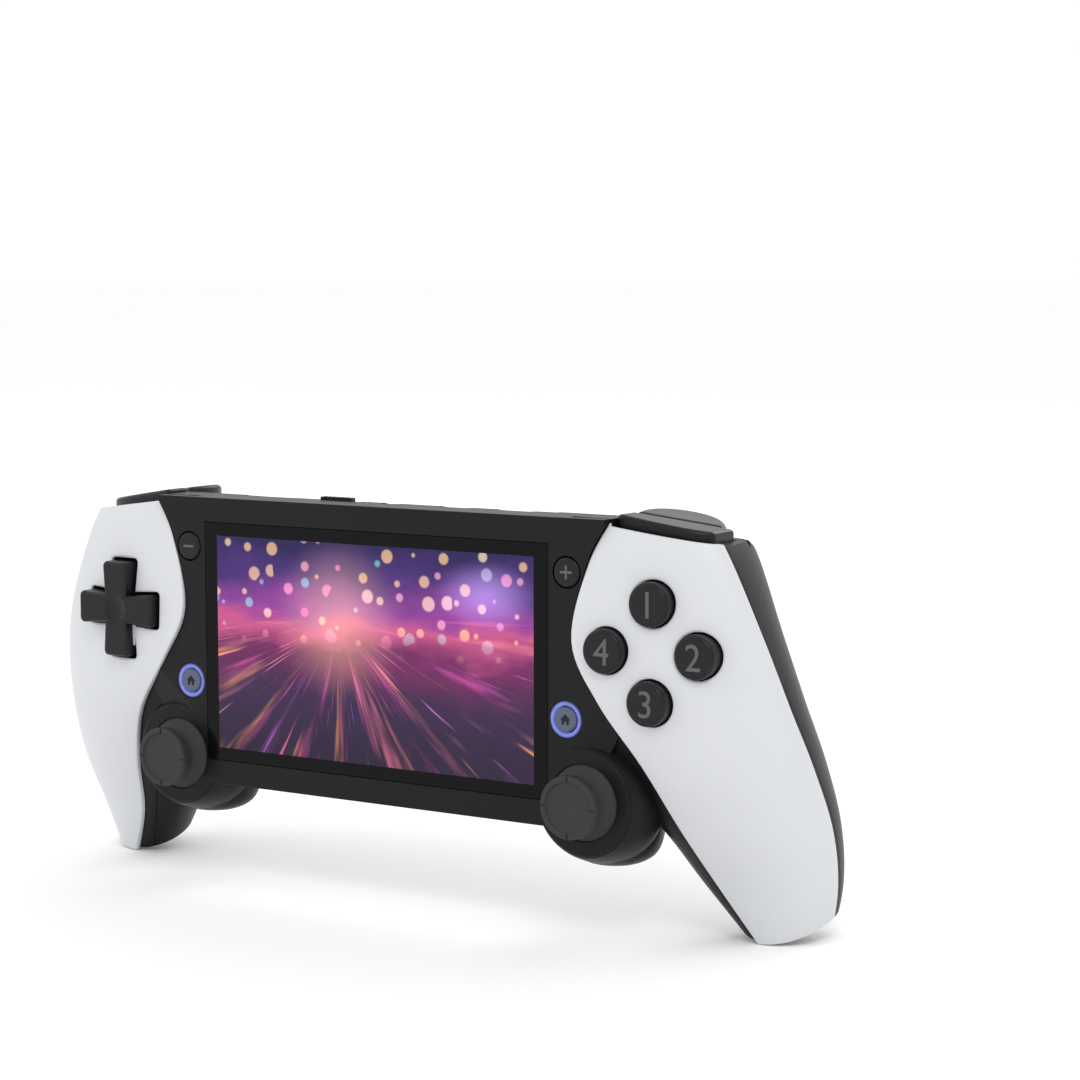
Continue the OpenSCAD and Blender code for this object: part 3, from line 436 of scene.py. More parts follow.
def moulded(name):
    """Moulded plastic or rubber: eroded grain, faint clouds in colour and gloss, and small scuffs."""
    tint, rough, grain_size, grain_depth, mottle, fixed = MOULDED[name]
    colour = getattr(colours(), tint)
    finish = Finish(name, **fixed)
    place = finish.place()
    clouds = finish.noise(place, 38, 4.0, 0.6)
    fine = finish.noise(place, 1 / grain_size, 3.0, 0.65)
    pores = finish.add("ShaderNodeTexVoronoi", {"feature": "F1"},
                       {"Vector": place, "Scale": 0.8 / grain_size})
    scuffs = finish.noise(place, 420, 5.0, 0.75).span(0.60, 0.72)
    tone = finish.blend(clouds, shade(colour, 1 - mottle), shade(colour, 1 + mottle))
    speckle = finish.blend(fine.span(0.35, 0.75), tone, shade(colour, 1.0 + 1.6 * mottle))
    finish.set(Base_Color=speckle)
    finish.set(Roughness=rough - 0.05 + clouds * 0.08 + fine * 0.05 - scuffs * 0.04)
    finish.grain(fine * 0.7 + pores * 0.5, grain_depth)
    return finish.material


def ring_finish(name):
    """A lit guide: brighter along its middle, with the faint spots of the lamps behind it."""
    finish = Finish(name, Roughness=0.35, Specular_IOR_Level=0.3, Emission_Strength=1.0)
    place = finish.place()
    clouds = finish.noise(place, 900, 2.0)
    colour = colours().ring
    x, _, z = finish.axes(place)
    across, up = abs(x) - HOME_X * MM, z - (HOME_Z + SCREEN_Z) * MM
    off = abs((across * across + up * up) ** 0.5 - (HOME_R + RING_R) / 2 * MM)
    band = (0.00062 - off).span(0.0, 0.00045)
    finish.set(Base_Color=finish.blend(clouds, shade(colour, 0.10), shade(colour, 0.16)))
    bright = finish.blend(clouds.span(0.3, 0.7), shade(colour, 0.80), colour)
    finish.set(Emission_Color=finish.blend(band, shade(colour, 0.06), bright))
    return finish.material


def metal_finish(name):
    """Stamped steel with drawn lines."""
    finish = Finish(name, Metallic=1.0)
    place = finish.place()
    stretched = finish.add("ShaderNodeMapping", {}, {"Vector": place, "Scale": (9000, 300, 300)})
    lines = finish.noise(stretched, 1, 3.0)
    finish.set(Base_Color=finish.blend(lines, (0.42, 0.42, 0.43), (0.62, 0.62, 0.64)))
    finish.set(Roughness=lines * 0.25 + 0.22)
    finish.grain(lines, 0.000004)
    return finish.material


def board_finish(name):
    """Solder mask over copper lanes."""
    finish = Finish(name, Specular_IOR_Level=0.5)
    place = finish.place()
    turned = finish.add("ShaderNodeMapping", {}, {"Vector": place, "Rotation": (math.pi / 2, 0, 0)})
    lanes = finish.add("ShaderNodeTexBrick", {"offset": 0.5},
                       {"Vector": turned, "Scale": 160, "Mortar Size": 0.02, "Brick Width": 0.9,
                        "Row Height": 0.2}, "Fac")
    clouds = finish.noise(place, 60, 3.0)
    mask = finish.blend(clouds, (0.008, 0.060, 0.028), (0.014, 0.095, 0.045))
    finish.set(Base_Color=finish.blend(lanes * 0.7, mask, (0.05, 0.20, 0.09)))
    finish.set(Roughness=0.3 + clouds * 0.12)
    finish.grain(lanes, 0.00003)
    return finish.material


def battery_finish(name):
    """A wrapped cell: crinkled foil film."""
    finish = Finish(name, Specular_IOR_Level=0.5)
    place = finish.place()
    crinkle = finish.noise(place, 240, 5.0, 0.6)
    finish.set(Base_Color=finish.blend(crinkle, (0.028, 0.030, 0.036), (0.060, 0.064, 0.074)))
    finish.set(Roughness=0.28 + crinkle * 0.2)
    finish.grain(crinkle, 0.00006)
    return finish.material


def screen_finish(name):
    """Dark glass with a lit picture in its window: streaks of light that run out of one point at night."""
    finish = Finish(name, Roughness=0.14, Specular_IOR_Level=0.10, Emission_Strength=1.0)
    place = finish.place()
    x, _, z = finish.axes(place)
    across, up = x / (VIEW_HALF_W * MM), (z - SCREEN_Z * MM) / (VIEW_HALF_H * MM)
    inside = (abs(across) < 1.0) * (abs(up) < 1.0)
    dx, dz = across * 1.76 + 0.35, up - 0.30
    far = (dx * dx + dz * dz) ** 0.5
    turn = finish.add("ShaderNodeMath", {"operation": "ARCTAN2"}, {0: dz, 1: dx})
    drift = finish.noise(finish.vector(across * 2.2, up * 2.6, 0.0), 1.0, 4.0) - 0.5
    night = finish.add("ShaderNodeValToRGB", {"stops": [
        (0.0, (0.030, 0.020, 0.045)), (0.30, (0.055, 0.028, 0.080)), (0.50, (0.20, 0.030, 0.13)),
        (0.62, (0.62, 0.11, 0.28)), (0.70, (0.30, 0.060, 0.34)), (0.84, (0.080, 0.035, 0.20)),
        (1.0, (0.030, 0.020, 0.10))]}, {"Fac": up * 0.5 + 0.5 + drift * 0.30})
    fans = finish.noise(finish.vector(turn * 7.0, far * 0.5, 2.0), 1.0, 3.0, 0.6).span(0.53, 0.74)
    threads = finish.noise(finish.vector(turn * 30.0, far * 0.9, 7.0), 1.0, 2.0, 0.55).span(0.60, 0.72)
    ground = (0.25 - dz).span(0.0, 0.5) * far.span(0.15, 0.8)
    tint = finish.add("ShaderNodeValToRGB", {"stops": [
        (0.32, (0.10, 0.16, 0.80)), (0.46, (0.80, 0.08, 0.42)), (0.57, (0.95, 0.40, 0.08)),
        (0.68, (0.45, 0.14, 0.80))]},
        {"Fac": finish.noise(finish.vector(turn * 2.6, 0.0, 4.0), 1.0, 1.0)})
    rays = finish.blend((fans * 0.55 + threads * 0.70) * ground, night, tint, "ADD")
    spots = finish.add("ShaderNodeTexVoronoi", {"feature": "F1", "voronoi_dimensions": "2D"},
                       {"Vector": finish.vector(across * 1.76, up, 0.0), "Scale": 4.6, "Randomness": 1.0})
    hues = Value(finish, spots.socket.node.outputs["Color"])
    size, warm, _ = finish.axes(hues)
    discs = (size * 0.30 + 0.06 - spots).span(0.0, 0.10) * (size > 0.22) * (up + 0.05).span(0.0, 0.40)
    lamp = finish.add("ShaderNodeValToRGB", {"stops": [
        (0.25, (1.0, 0.62, 0.20)), (0.45, (1.0, 0.80, 0.50)), (0.60, (0.95, 0.14, 0.42)),
        (0.80, (0.10, 0.62, 0.60))]},
        {"Fac": warm})
    lit = finish.blend(discs * 0.60, rays, lamp, "ADD")
    glow = (0.45 - far).span(-0.35, 0.45)
    lit = finish.blend(glow * 0.42, lit, (1.0, 0.55, 0.30), "ADD")
    side = ((across - 0.72) * (across - 0.72) * 3.0 + (up - 0.62) * (up - 0.62) * 3.0) ** 0.5
    lit = finish.blend((0.6 - side).span(0.0, 0.6) * 0.55, lit, (0.62, 0.38, 1.0), "ADD")
    clouds = finish.noise(place, 55, 3.0)
    finish.set(Base_Color=finish.blend(clouds, (0.0022, 0.0023, 0.0028), (0.0034, 0.0035, 0.0042)))
    finish.set(Emission_Color=finish.blend(inside, (0.0, 0.0, 0.0), lit))
    return finish.material


FINISHES = {
    **dict.fromkeys(MOULDED, moulded), "ring_light": ring_finish, "stamped_steel": metal_finish,
    "board_mask": board_finish, "battery_wrap": battery_finish, "screen_glass": screen_finish,
}


def finish_of(name):
    """A finish by its name, made when it is first asked for."""
    return bpy.data.materials.get(name) or FINISHES[name](name)


# The body: a slab with a front plate, two lofted grips and the round pods of the sticks.

SIDE_MARGIN = 7
SIDE_X = LENS_HALF_W + SIDE_MARGIN
HALF_H = 36.4
BODY_T = 17.0
WALL = 1.8
SEAM = 0.15
KEY_GAP = 0.35
COVER_T = 1.2
COVER_BED = COVER_T + SEAM
GRIP_DEPTH = 43.5
GRIP_DROP = 63.0
SLAB_X = SIDE_X - 2.3
SLAB_FRONT = 0.5
EDGE_FRONT_R = 1.5
EDGE_REAR_R = 6.5
PLATE_T = 2.2
PLATE_STEPS, PLATE_ROWS = 16, 57
SWELL_POWER = 2.2
RINGS_PER_STATION = 8
# How far the cutting shapes reach past the body
FAR = 80.0
REACH = 60.0
NEAR_REACH = 50.0
FRONT_REACH = 10.0
GRIP_IN = SIDE_X - 21.3
GRIP_OUT = SIDE_X + 70
END_TILT = 23
END_Y = 21.7
BED_X = SIDE_X + 8.4
BED_DROP = 2
BED_SLOPE = 0.133
LIP_Y = 12
LIP_SLOPE = 0.44
FALL_START = -12.6
FALL_SLOPE = 0.2
FALL_TURN = 50
STRIP_X = SIDE_X + 1.7
STRIP_BEHIND = 0.8
STRIP_RUN, STRIP_FALL = 35, -70
LAP = 0.1
GROUP_X = SIDE_X + 20.9
GROUP_Z = 6.5
STICK = Vector((SIDE_X + 2.7, 8.2, -29.8))
POD_R = 12.75
POD_FLARE_R = 15.8
POD_BACK_R = 8.6
POD_BACK_Y = BODY_T + 1.5
BULLET_Y = 14.5
BULLET_R = 11.9
BULLET_TOP = STICK.z + 12.3
BULLET_LOW = STICK.z - 16.8
BULLET = np.array([[0, 0], [0.34, 0.035], [0.61, 0.135], [0.79, 0.27], [0.92, 0.45], [1, 0.64], [0.97, 0.79],
                   [0.82, 0.91], [0.5, 0.98], [0, 1]])
BOWL_R = 12.0
BOWL_GAP = 0.35
PART_Y = 9.5

# Rows from the top down: height; across and depth of the cover's inner edge and of its outer edge;
# across and drop of the rear crest; across and depth of the inner flank; how far the flank stands free.
STATIONS = np.array([
    [37, 9.7, 1.8, 31, 9.6, 21.7, 10.5, -11.3, 12, 0],
    [26, 3.8, 0.4, 37.8, 8.8, 24.7, 8, -11.3, 16, 0],
    [8, 0, -1, 45.6, 10.2, 27.7, 8, -11.3, 16.5, 0],
    [-6, 7.1, -0.9, 49.7, 13.8, 30.9, 6, -11.3, 16.5, 0],
    [-20, 17.1, 1.8, 52.5, 19.9, 34.7, 2.5, -6, 16.5, 0.25],
    [-0.56 * GRIP_DROP, 24, 8, 54.1, 26.6, 38.9, 0.5, 13.5, 17, 1],
    [-0.8 * GRIP_DROP, 30.1, 16.5, 52.5, 32.5, 42.2, 0, 22.2, 25, 1],
    [-1.05 * GRIP_DROP, 38.7, 23, 47.7, 37.5, 42.7, 2.5, 33.7, 31, 1],
])


def through(rows, s):
    """A smooth curve through rows of values, by row number."""
    last = len(rows) - 1
    i = min(int(s), last - 1)
    a, b, c, d = (rows[min(max(k, 0), last)] for k in range(i - 1, i + 3))
    t = s - i
    return 0.5 * (2 * b + (c - a) * t + (2 * a - 5 * b + 4 * c - d) * t ** 2
                  + (3 * b - a - 3 * c + d) * t ** 3)


def station_of(z):
    i = next((k for k in range(len(STATIONS) - 2) if STATIONS[k + 1][0] <= z), len(STATIONS) - 2)
    return i + (z - STATIONS[i][0]) / (STATIONS[i + 1][0] - STATIONS[i][0])


def along(rows, steps=4):
    """Points on a smooth curve through rows of values."""
    return [through(rows, k / steps) for k in range(steps * (len(rows) - 1) + 1)]


def station_rows():
    return along(STATIONS, RINGS_PER_STATION)


def swell(a, b, n):
    """A quarter of a superellipse that leaves a along X and meets b along Y."""
    turns = np.linspace(0, math.pi / 2, n + 1)
    return [np.array((a[0] + (b[0] - a[0]) * abs(math.sin(q)) ** (2 / SWELL_POWER),
                      b[1] - (b[1] - a[1]) * abs(math.cos(q)) ** (2 / SWELL_POWER))) for q in turns]


def bezier(a, b, c, d, n):
    steps = [k / n for k in range(1, n + 1)]
    return [a * (1 - t) ** 3 + b * 3 * t * (1 - t) ** 2 + c * 3 * t * t * (1 - t) + d * t ** 3 for t in steps]


def arc(centre, r, start, end, n=8):
    turns = np.radians(np.linspace(start, end, n + 1))
    return [np.array((centre[0] + r * math.cos(q), centre[1] + r * math.sin(q))) for q in turns]


def inner_edge(row, out=0.0):
    return np.array((SIDE_X + row[1], row[2] + out))


def outer_edge(row, out=0.0):
    return np.array((SIDE_X + row[3] - out, row[4]))


def cover_y(x, z):
    """Depth of the cover's face at a place on it."""
    row = through(STATIONS, station_of(z))
    a, b = inner_edge(row), outer_edge(row)
    u = min(max((x - a[0]) / (b[0] - a[0]), 0), 1)
    return b[1] - (b[1] - a[1]) * (1 - u ** SWELL_POWER) ** (1 / SWELL_POWER)


def grip_outline(row, inset):
    free = min(max(row[9], 0), 1)
    i = inner_edge(row, COVER_BED) + inset
    o = outer_edge(row) - np.array((inset, 0))
    c = np.array((SIDE_X + row[5] + inset * (1 - free) / 2, GRIP_DEPTH - row[6] - inset))
    f = np.array((SIDE_X + row[7] + inset * (1 + free) / 2, row[8] - inset * (1 - free)))
    back = c - f
    across, deep = np.array((1, 0)), np.array((0, 1))
    skin = swell(i, o - across * COVER_BED, 20) + [o]
    skin += bezier(o, o + deep * 0.55 * (c[1] - o[1]), c + across * 0.55 * (o[0] - c[0]), c, 14)
    skin += bezier(c, c - across * (0.7 - 0.15 * free) * back[0],
                   f + np.array((0.75 * (1 - free) * back[0], 0.55 * free * back[1])), f, 18)
    skin += bezier(f, f - deep * 0.55 * (f[1] - i[1]), i - across * 0.55 * (i[0] - f[0]), i, 14)
    return [(*p, row[0]) for p in skin[:-1]]


def grip(inset):
    return loft([grip_outline(row, inset) for row in station_rows()])


def cover_outline(row):
    """Section of a cover with its edge along the plate rounded."""
    r = sizes().cover_round / MM
    i = inner_edge(row)
    front = swell(i, outer_edge(row) - np.array((0, SEAM)), 40)
    back = swell(inner_edge(row, COVER_T), outer_edge(row, COVER_T) - np.array((0, SEAM)), 40)
    edge = arc(i + r, r, 180, 270, 5)
    face = [p for p in front if p[0] > i[0] + r * 1.4]
    extra = len(front) - len(face)
    lead = [edge[-1] + (face[0] - edge[-1]) * k / (extra + 1) for k in range(1, extra + 1)]
    return [(*p, row[0]) for p in edge + lead + face + back[::-1]]


def end_cut(inset):
    """What lies below the slanted end of a grip."""
    tilt = math.tan(math.radians(END_TILT))
    y0, y1, z, low = END_Y - NEAR_REACH, END_Y + REACH, inset - GRIP_DROP, -2 * GRIP_DROP
    return prism([(y0, z - NEAR_REACH * tilt), (y1, z + REACH * tilt), (y1, low), (y0, low)],
                 0, SIDE_X, GRIP_OUT)


def bumper_cut(drop):
    """What lies above the slant under a bumper."""
    x0, x1, z = BED_X - drop, BED_X + REACH, HALF_H - BED_DROP - drop
    return prism([(x0, z), (x1, z - REACH * BED_SLOPE), (x1, FAR), (x0, FAR)], 1, -FRONT_REACH, REACH)


def lip_cut(drop):
    """What lies above the slant behind a trigger."""
    y0, y1, z = LIP_Y - FRONT_REACH, LIP_Y + REACH, HALF_H - drop
    return prism([(y0, z + FRONT_REACH * LIP_SLOPE), (y1, z - REACH * LIP_SLOPE), (y1, FAR), (y0, FAR)],
                 0, GRIP_IN, GRIP_OUT)


def edge_cut(drop):
    return block(GRIP_IN, GRIP_OUT, -FRONT_REACH, REACH, HALF_H - drop, FAR)


def trimmed_grip(inset):
    return combine(grip(inset), "DIFFERENCE",
                   [edge_cut(inset), end_cut(inset), bumper_cut(inset), lip_cut(inset)])


def slab(inset):
    y0 = inset or SLAB_FRONT
    y1, h = BODY_T - inset, HALF_H - inset
    rf, rr = EDGE_FRONT_R, EDGE_REAR_R - inset
    reach = SLAB_X + inset / 2
    side = arc((y1 - rr, h - rr), rr, 90, 0, 14) + arc((y1 - rr, rr - h), rr, 0, -90, 14)
    side += arc((y0 + rf, rf - h), rf, -90, -180) + arc((y0 + rf, h - rf), rf, 180, 90)
    return prism(side, 0, -reach, reach)


def plate_outline():
    edge = along(STATIONS, PLATE_STEPS)[:PLATE_ROWS]
    half = [(SIDE_X + STATIONS[0][1] - SEAM, HALF_H)]
    half += [(SIDE_X + row[1] - SEAM, row[0]) for row in edge if row[0] < HALF_H]
    half += [(STICK.x, STICK.z), (STICK.x, -HALF_H)]
    return half + [(-x, z) for x, z in reversed(half)]


def plate():
    """The front plate, which falls back beside the pods so that their round faces stand proud."""
    made = prism(plate_outline(), 1, 0, PLATE_T)
    round_edges(made, sizes().plate_bevel / MM, 40, 3, lambda at: at.y < 0.01 and abs(at.x) < SLAB_X)
    end = 3 * POD_R
    fall = prism([(FALL_START, 0), (end, FALL_SLOPE * (end - FALL_START)), (end, -PLATE_T),
                  (FALL_START - PLATE_T / FALL_SLOPE, -PLATE_T)], 2, 0, 4 * POD_R)
    moved(fall, Matrix.Translation((STICK.x, 0, STICK.z)) @ Matrix.Rotation(math.radians(FALL_TURN), 4, "Y"))
    return combine(made, "DIFFERENCE", both_sides([fall]))


def bullet(inset):
    top, low = BULLET_TOP - inset, BULLET_LOW + inset
    wall = [(share * (BULLET_R - inset), top - depth * (top - low)) for share, depth in along(BULLET)]
    return turned(wall, (0, 0, 1), (STICK.x, BULLET_Y, 0))


def pod(inset):
    """Round housing of a thumbstick: flat face, flared wall and a bullet that swells out behind."""
    wall = along(np.array([
        [POD_R - inset, inset], [POD_R + 1.6 - inset, 3.2], [POD_FLARE_R - inset, 8.5],
        [POD_FLARE_R - 0.6 - inset, 12], [POD_FLARE_R - 3.2 - inset, BODY_T - 1.6],
        [POD_BACK_R + 1.6 - inset, BODY_T], [POD_BACK_R - inset, POD_BACK_Y - inset / 2]]))
    rim = [] if inset else arc((POD_R - 0.5, 0.5), 0.5, -90, 0, 4)
    profile = [(0, wall[0][1])] + rim + wall[1 if rim else 0:] + [(0, wall[-1][1])]
    return [turned_y(STICK.x, STICK.z, profile), bullet(inset)]


def body_solid():
    sides = both_sides([trimmed_grip(0)] + pod(0))
    front = combine(plate(), "DIFFERENCE", both_sides([bumper_cut(0)]))
    return union([slab(0), front] + sides)


def body_cavity():
    return union([slab(WALL)] + both_sides([trimmed_grip(WALL)] + pod(WALL)))


def front_zone(shift):
    """Space of the front shell: before a flat parting, and down the grips behind the covers."""
    x, front = STRIP_X - shift, -2 * FRONT_REACH
    flat = block(-2 * SIDE_X, 2 * SIDE_X, front, PART_Y + shift, -2 * GRIP_DROP, FAR)
    rows = along(STATIONS)
    edge = [(row[4] + STRIP_BEHIND + shift, row[0]) for row in rows]
    behind = prism(edge + [(-FRONT_REACH, rows[-1][0]), (-FRONT_REACH, rows[0][0])],
                   0, SIDE_X - FRONT_REACH, GRIP_OUT)
    lean = prism([(x, 0), (x + STRIP_RUN, STRIP_FALL), (GRIP_OUT, STRIP_FALL), (GRIP_OUT, 0)],
                 1, front, REACH)
    strip = combine(behind, "INTERSECT", [lean])
    return union([flat] + both_sides([strip]))


# Keys, sockets and openings stand where the solids have them.

LENS_SEAT = 1.05
LENS_BEVEL = 0.12
VIEW_MARGIN = 1
# Growth of a cover's hole and depth below the cover's face, from front to back
HOLE_FLARE = ((0.80, -0.40), (0.40, 0.0), (0.16, 0.06), (0.04, 0.18), (0.0, 0.40))
HOLE_BACK = 14
# Share of a letter's size that a figure is tall
FIGURE_SHARE = 0.7
STEM_Y = 7.6
FLANGE_W = 0.9
FLANGE_T = 1.0
STEM_R = 2.0
EDGE_R = 0.6
SKIN = 0.8
BUTTON_R = 5.2
BUTTON_PITCH = 11.3
BUTTON_PROUD = 2.4
BUTTON_EDGE = 0.9
BUTTONS = {"top": (0, 1), "right": (1, 0), "bottom": (0, -1), "left": (-1, 0)}
OPTION_X, OPTION_Z, OPTION_R = SIDE_X - 1.7, 23.8, 3.5
HOME_X, HOME_Z, HOME_R = SIDE_X - 1.9, -10.6, 2.95
RING_R = HOME_R + KEY_GAP + 1.1
RING_EDGE = 0.15
RING_FACE = 0.05
# Pictogram of the home buttons, and half the length and width of a stroke of the plus and the minus
HOUSE = ((-1.45, -0.05), (0, 1.35), (1.45, -0.05), (1.0, -0.05), (1.0, -1.2), (0.32, -1.2), (0.32, -0.4),
         (-0.32, -0.4), (-0.32, -1.2), (-1.0, -1.2), (-1.0, -0.05))
STROKE_LEN, STROKE_W = 1.6, 0.28
PLATE_FACE = -0.3
PLATE_STEM_Y = 6.5
PIVOT_FIT = 0.05

DPAD_TIP = 12.25
DPAD_HALF = 3.65
DPAD_FLARE = 0.5
DPAD_TIP_R = 1.2
DPAD_GAP = 0.75
DPAD_FACE = -3.2
DPAD_FLANGE = 1.2
DPAD_FLANGE_Y = 6.0
DPAD_SEAT_Y = 4.4
DPAD_BALL = Vector((-GROUP_X, 4.0, GROUP_Z))
DPAD_BALL_R = 1.8
DOME_RING = 8.5
# Growth of the cross and depth below its face along its rounded edge
DPAD_EDGE = np.array([[-0.8, 0], [-0.35, 0.15], [-0.1, 0.45], [0, 0.9]])
DPAD_FLANGE_T = 0.8
DPAD_FOOT_R = 1.6
HOLLOW = 0.5
HOLLOW_R = 14

STICK_R = 7.5
STICK_FACE = -7.0
STICK_CAP_T = 2.5
STICK_NECK_R = 3.4
STICK_RIM = 1.4
# Radius and depth of the dish, from the middle out
STICK_DISH = ((0, 0.66), (2.6, 0.63))
RIM_ROUND = 0.25
NOTCH_HALF = 0.25
NOTCH_DEEP = 0.35
POST_R = 2.4
FORK_HALF = 2.2
BOWL_T = 1.2
BOWL_ANGLE = 63
FORK_IN = 2.4
FORK_OUT = 3.8
CROSS_PIN_R = 1.2

SHOULDER_YAW = math.radians(18.4)
SHOULDER_Y = 5.2
BUMPER_X = SIDE_X + 8.9
BUMPER_LEN = 24.0
BUMPER_DEPTH = 6.6
BUMPER_SET = COVER_BED + WALL + KEY_GAP
BUMPER_ROW_Z = 33.0
BUMPER_BOTTOM = HALF_H - 7.9
KEY_TOP_Z = HALF_H + 1.1
KEY_TOP_SLOPE = 0.161
TRIGGER_U = 13.3
TRIGGER_V = BUMPER_DEPTH + 0.5
TRIGGER_HALF = 10.4
TRIGGER_DEPTH = 15.0
TRIGGER_BOTTOM = HALF_H - 13.9
TRIGGER_WALL = 1.6
TRIGGER_ROUND = 1.6
TRIGGER_ROUND_DROP = 6
POCKET_BOTTOM = HALF_H - 16.2
PIN_V = BUMPER_DEPTH + 3
PIN_Z = HALF_H - 5.9
PIN_R = 1.0
RIB_US = (TRIGGER_U - 6.1, TRIGGER_U + 5.4)
LUG_US = (TRIGGER_U - 4.3, TRIGGER_U + 3.7)
RIB_T = 1.5
LUG_T = 1.4
LUG_TOP = 17
LUG_LOW = 2.2
PUSH_LOW = 2.5
RIB_Z = (POCKET_BOTTOM - 6.2, POCKET_BOTTOM - 0.7, POCKET_BOTTOM + 2.8)
RIB_V = TRIGGER_V + 6.5
RIB_BACK = 40
RIB_EYE = 1.8
LEDGE_T = 2.2
LEDGE_W = 1.2
PUSH_R = 1.2
PUSH_V = PIN_V + PIN_R + PUSH_R + 0.4
SHOULDER = Matrix.Translation((BUMPER_X - 0.2, SHOULDER_Y, 0)) @ Matrix.Rotation(SHOULDER_YAW, 4, "Z")

# Across, height, joint between the shells and seat of the head
SCREWS = ((SIDE_X + 30.7, 17, 13, 15.5), (SIDE_X + 34.2, -0.786 * GRIP_DROP, 30, 32.5))
SCREW_R = 1.35
SCREW_LEN = 9.5
SCREW_HEAD_REACH = 5
BORE_R = 2.5
BOSS_R = 2.8
TUBE_R = 3.9

BOARD_BACK = 11.6
BOARD_T = 1.2
# Posts behind the stick modules and the board
STICK_POST_RING, STICK_POST_Y, STICK_POST_R = 6, 16.2, 1.3
BOARD_POST_X, BOARD_POST_Z, BOARD_POST_R = SLAB_X - 7, HALF_H - 7, 2
LOW_POST_IN, HIGH_POST_DROP = 9, 1.4
SOCKET_Y = 11.0
SOCKET_LOW = HALF_H - 8
# Across, width and thickness of the long openings in the top edge
SOCKETS = ((-37.6, 12.2, 2.0), (18.2, 9.24, 3.56), (35.5, 11.5, 3.5))
JACK_X = -0.8
JACK_R = 2.85
KNOB_X = -17.6
KNOB_LEN = 9.6
KNOB_W = 2.0
KNOB_PROUD = 0.8
KNOB_TRAVEL = 2.5
KNOB_BEVEL = 0.25
GROOVE_W = 0.6
GROOVE_DEEP = 0.4
FOOT_LEN = 1.5
FOOT_HALF = 1.6
GRILLE_X = 26.35
GRILLE_Z = -20.5
GRILLE_LEN = 29.0
GRILLE_H = 3.0
GRILLE_DEEP = 0.6
GRILLE_HOLES = 8
GRILLE_PITCH = 3.56
GRILLE_HOLE_R = 1.0
OPEN_HOLES = 5


def circle(x, z, r, steps=72):
    return arc((x, z), r, 0, 360, steps)[:-1]


def stadium(x, y, w, t):
    half = (w - t) / 2
    return arc((x + half, y), t / 2, -90, 90, 16) + arc((x - half, y), t / 2, 90, 270, 16)


def button_place(way):
    x, z = BUTTONS[way]
    return GROUP_X + x * BUTTON_PITCH, GROUP_Z + z * BUTTON_PITCH


def button_seat(x, z):
    return cover_y(x + BUTTON_R + FLANGE_W, z) + COVER_BED + SKIN


def key_hole(x, z, seat, r):
    return [rod_y(x, z, -FRONT_REACH, seat + LAP, r + KEY_GAP),
            rod_y(x, z, seat, STEM_Y + 1, r + FLANGE_W + KEY_GAP)]


def round_key(x, z, face, seat, r, stem_end, edge=EDGE_R):
    """A round key: face, rounded edge, cap wall, flange and stem, from front to back."""
    back = seat + KEY_GAP
    return turned_y(x, z, [(0, face)] + arc((r - edge, face + edge), edge, -90, 0, 10) + [
        (r, back), (r + FLANGE_W, back), (r + FLANGE_W, back + FLANGE_T), (STEM_R, back + FLANGE_T),
        (STEM_R, stem_end), (0, stem_end)])


def cross_outline(grow):
    """The direction pad's cross with flared arms and rounded tips."""
    tip, half, r = DPAD_TIP + grow, DPAD_HALF + grow, DPAD_TIP_R
    end = half + DPAD_FLARE
    arm = [(half, -half)] + arc((tip - r, r - end), r, -90, 0) + arc((tip - r, end - r), r, 0, 90)
    return [(-GROUP_X + x * c - z * s, GROUP_Z + x * s + z * c)
            for c, s in ((1, 0), (0, 1), (-1, 0), (0, -1)) for x, z in arm]


def bumper_plan(grow):
    x0, x1 = BUMPER_X - grow, BUMPER_X + BUMPER_LEN * math.cos(SHOULDER_YAW) + grow
    front = [(x, cover_y(x, BUMPER_ROW_Z) + BUMPER_SET - grow) for x in np.linspace(x0, x1, 25)]
    back = [(x, SHOULDER_Y + (x - BUMPER_X) * math.tan(SHOULDER_YAW)
             + (BUMPER_DEPTH + grow) / math.cos(SHOULDER_YAW)) for x in (x1, x0)]
    return front + back


def trigger_plan(grow, front):
    u0, u1 = TRIGGER_U - TRIGGER_HALF - grow, TRIGGER_U + TRIGGER_HALF + grow
    turns = np.radians(np.linspace(0, 180, 49))
    return [(u0, front), (u1, front)] + [
        (TRIGGER_U + (TRIGGER_HALF + grow) * math.cos(q),
         TRIGGER_V + (TRIGGER_DEPTH + grow) * abs(math.sin(q)) ** 0.85) for q in turns]


def above_keys(drop):
    """What lies above the sloping tops of the shoulder keys."""
    inward, z = 2 * FRONT_REACH, KEY_TOP_Z - drop
    x0, x1 = BUMPER_X - inward, BUMPER_X + REACH
    return prism([(x0, z + inward * KEY_TOP_SLOPE), (x1, z - REACH * KEY_TOP_SLOPE), (x1, FAR), (x0, FAR)],
                 1, -FRONT_REACH, REACH)


def shoulder_pocket():
    return [prism(bumper_plan(KEY_GAP), 2, POCKET_BOTTOM, FAR),
            moved(prism(trigger_plan(KEY_GAP, TRIGGER_V - 1), 2, POCKET_BOTTOM, FAR), SHOULDER)]


def pin_rod(r):
    made = rod_y(0, 0, -FRONT_REACH, NEAR_REACH, r)
    place = SHOULDER @ Matrix.Translation((0, PIN_V, PIN_Z))
    return moved(made, place @ Matrix.Rotation(-math.pi / 2, 4, "Z"))


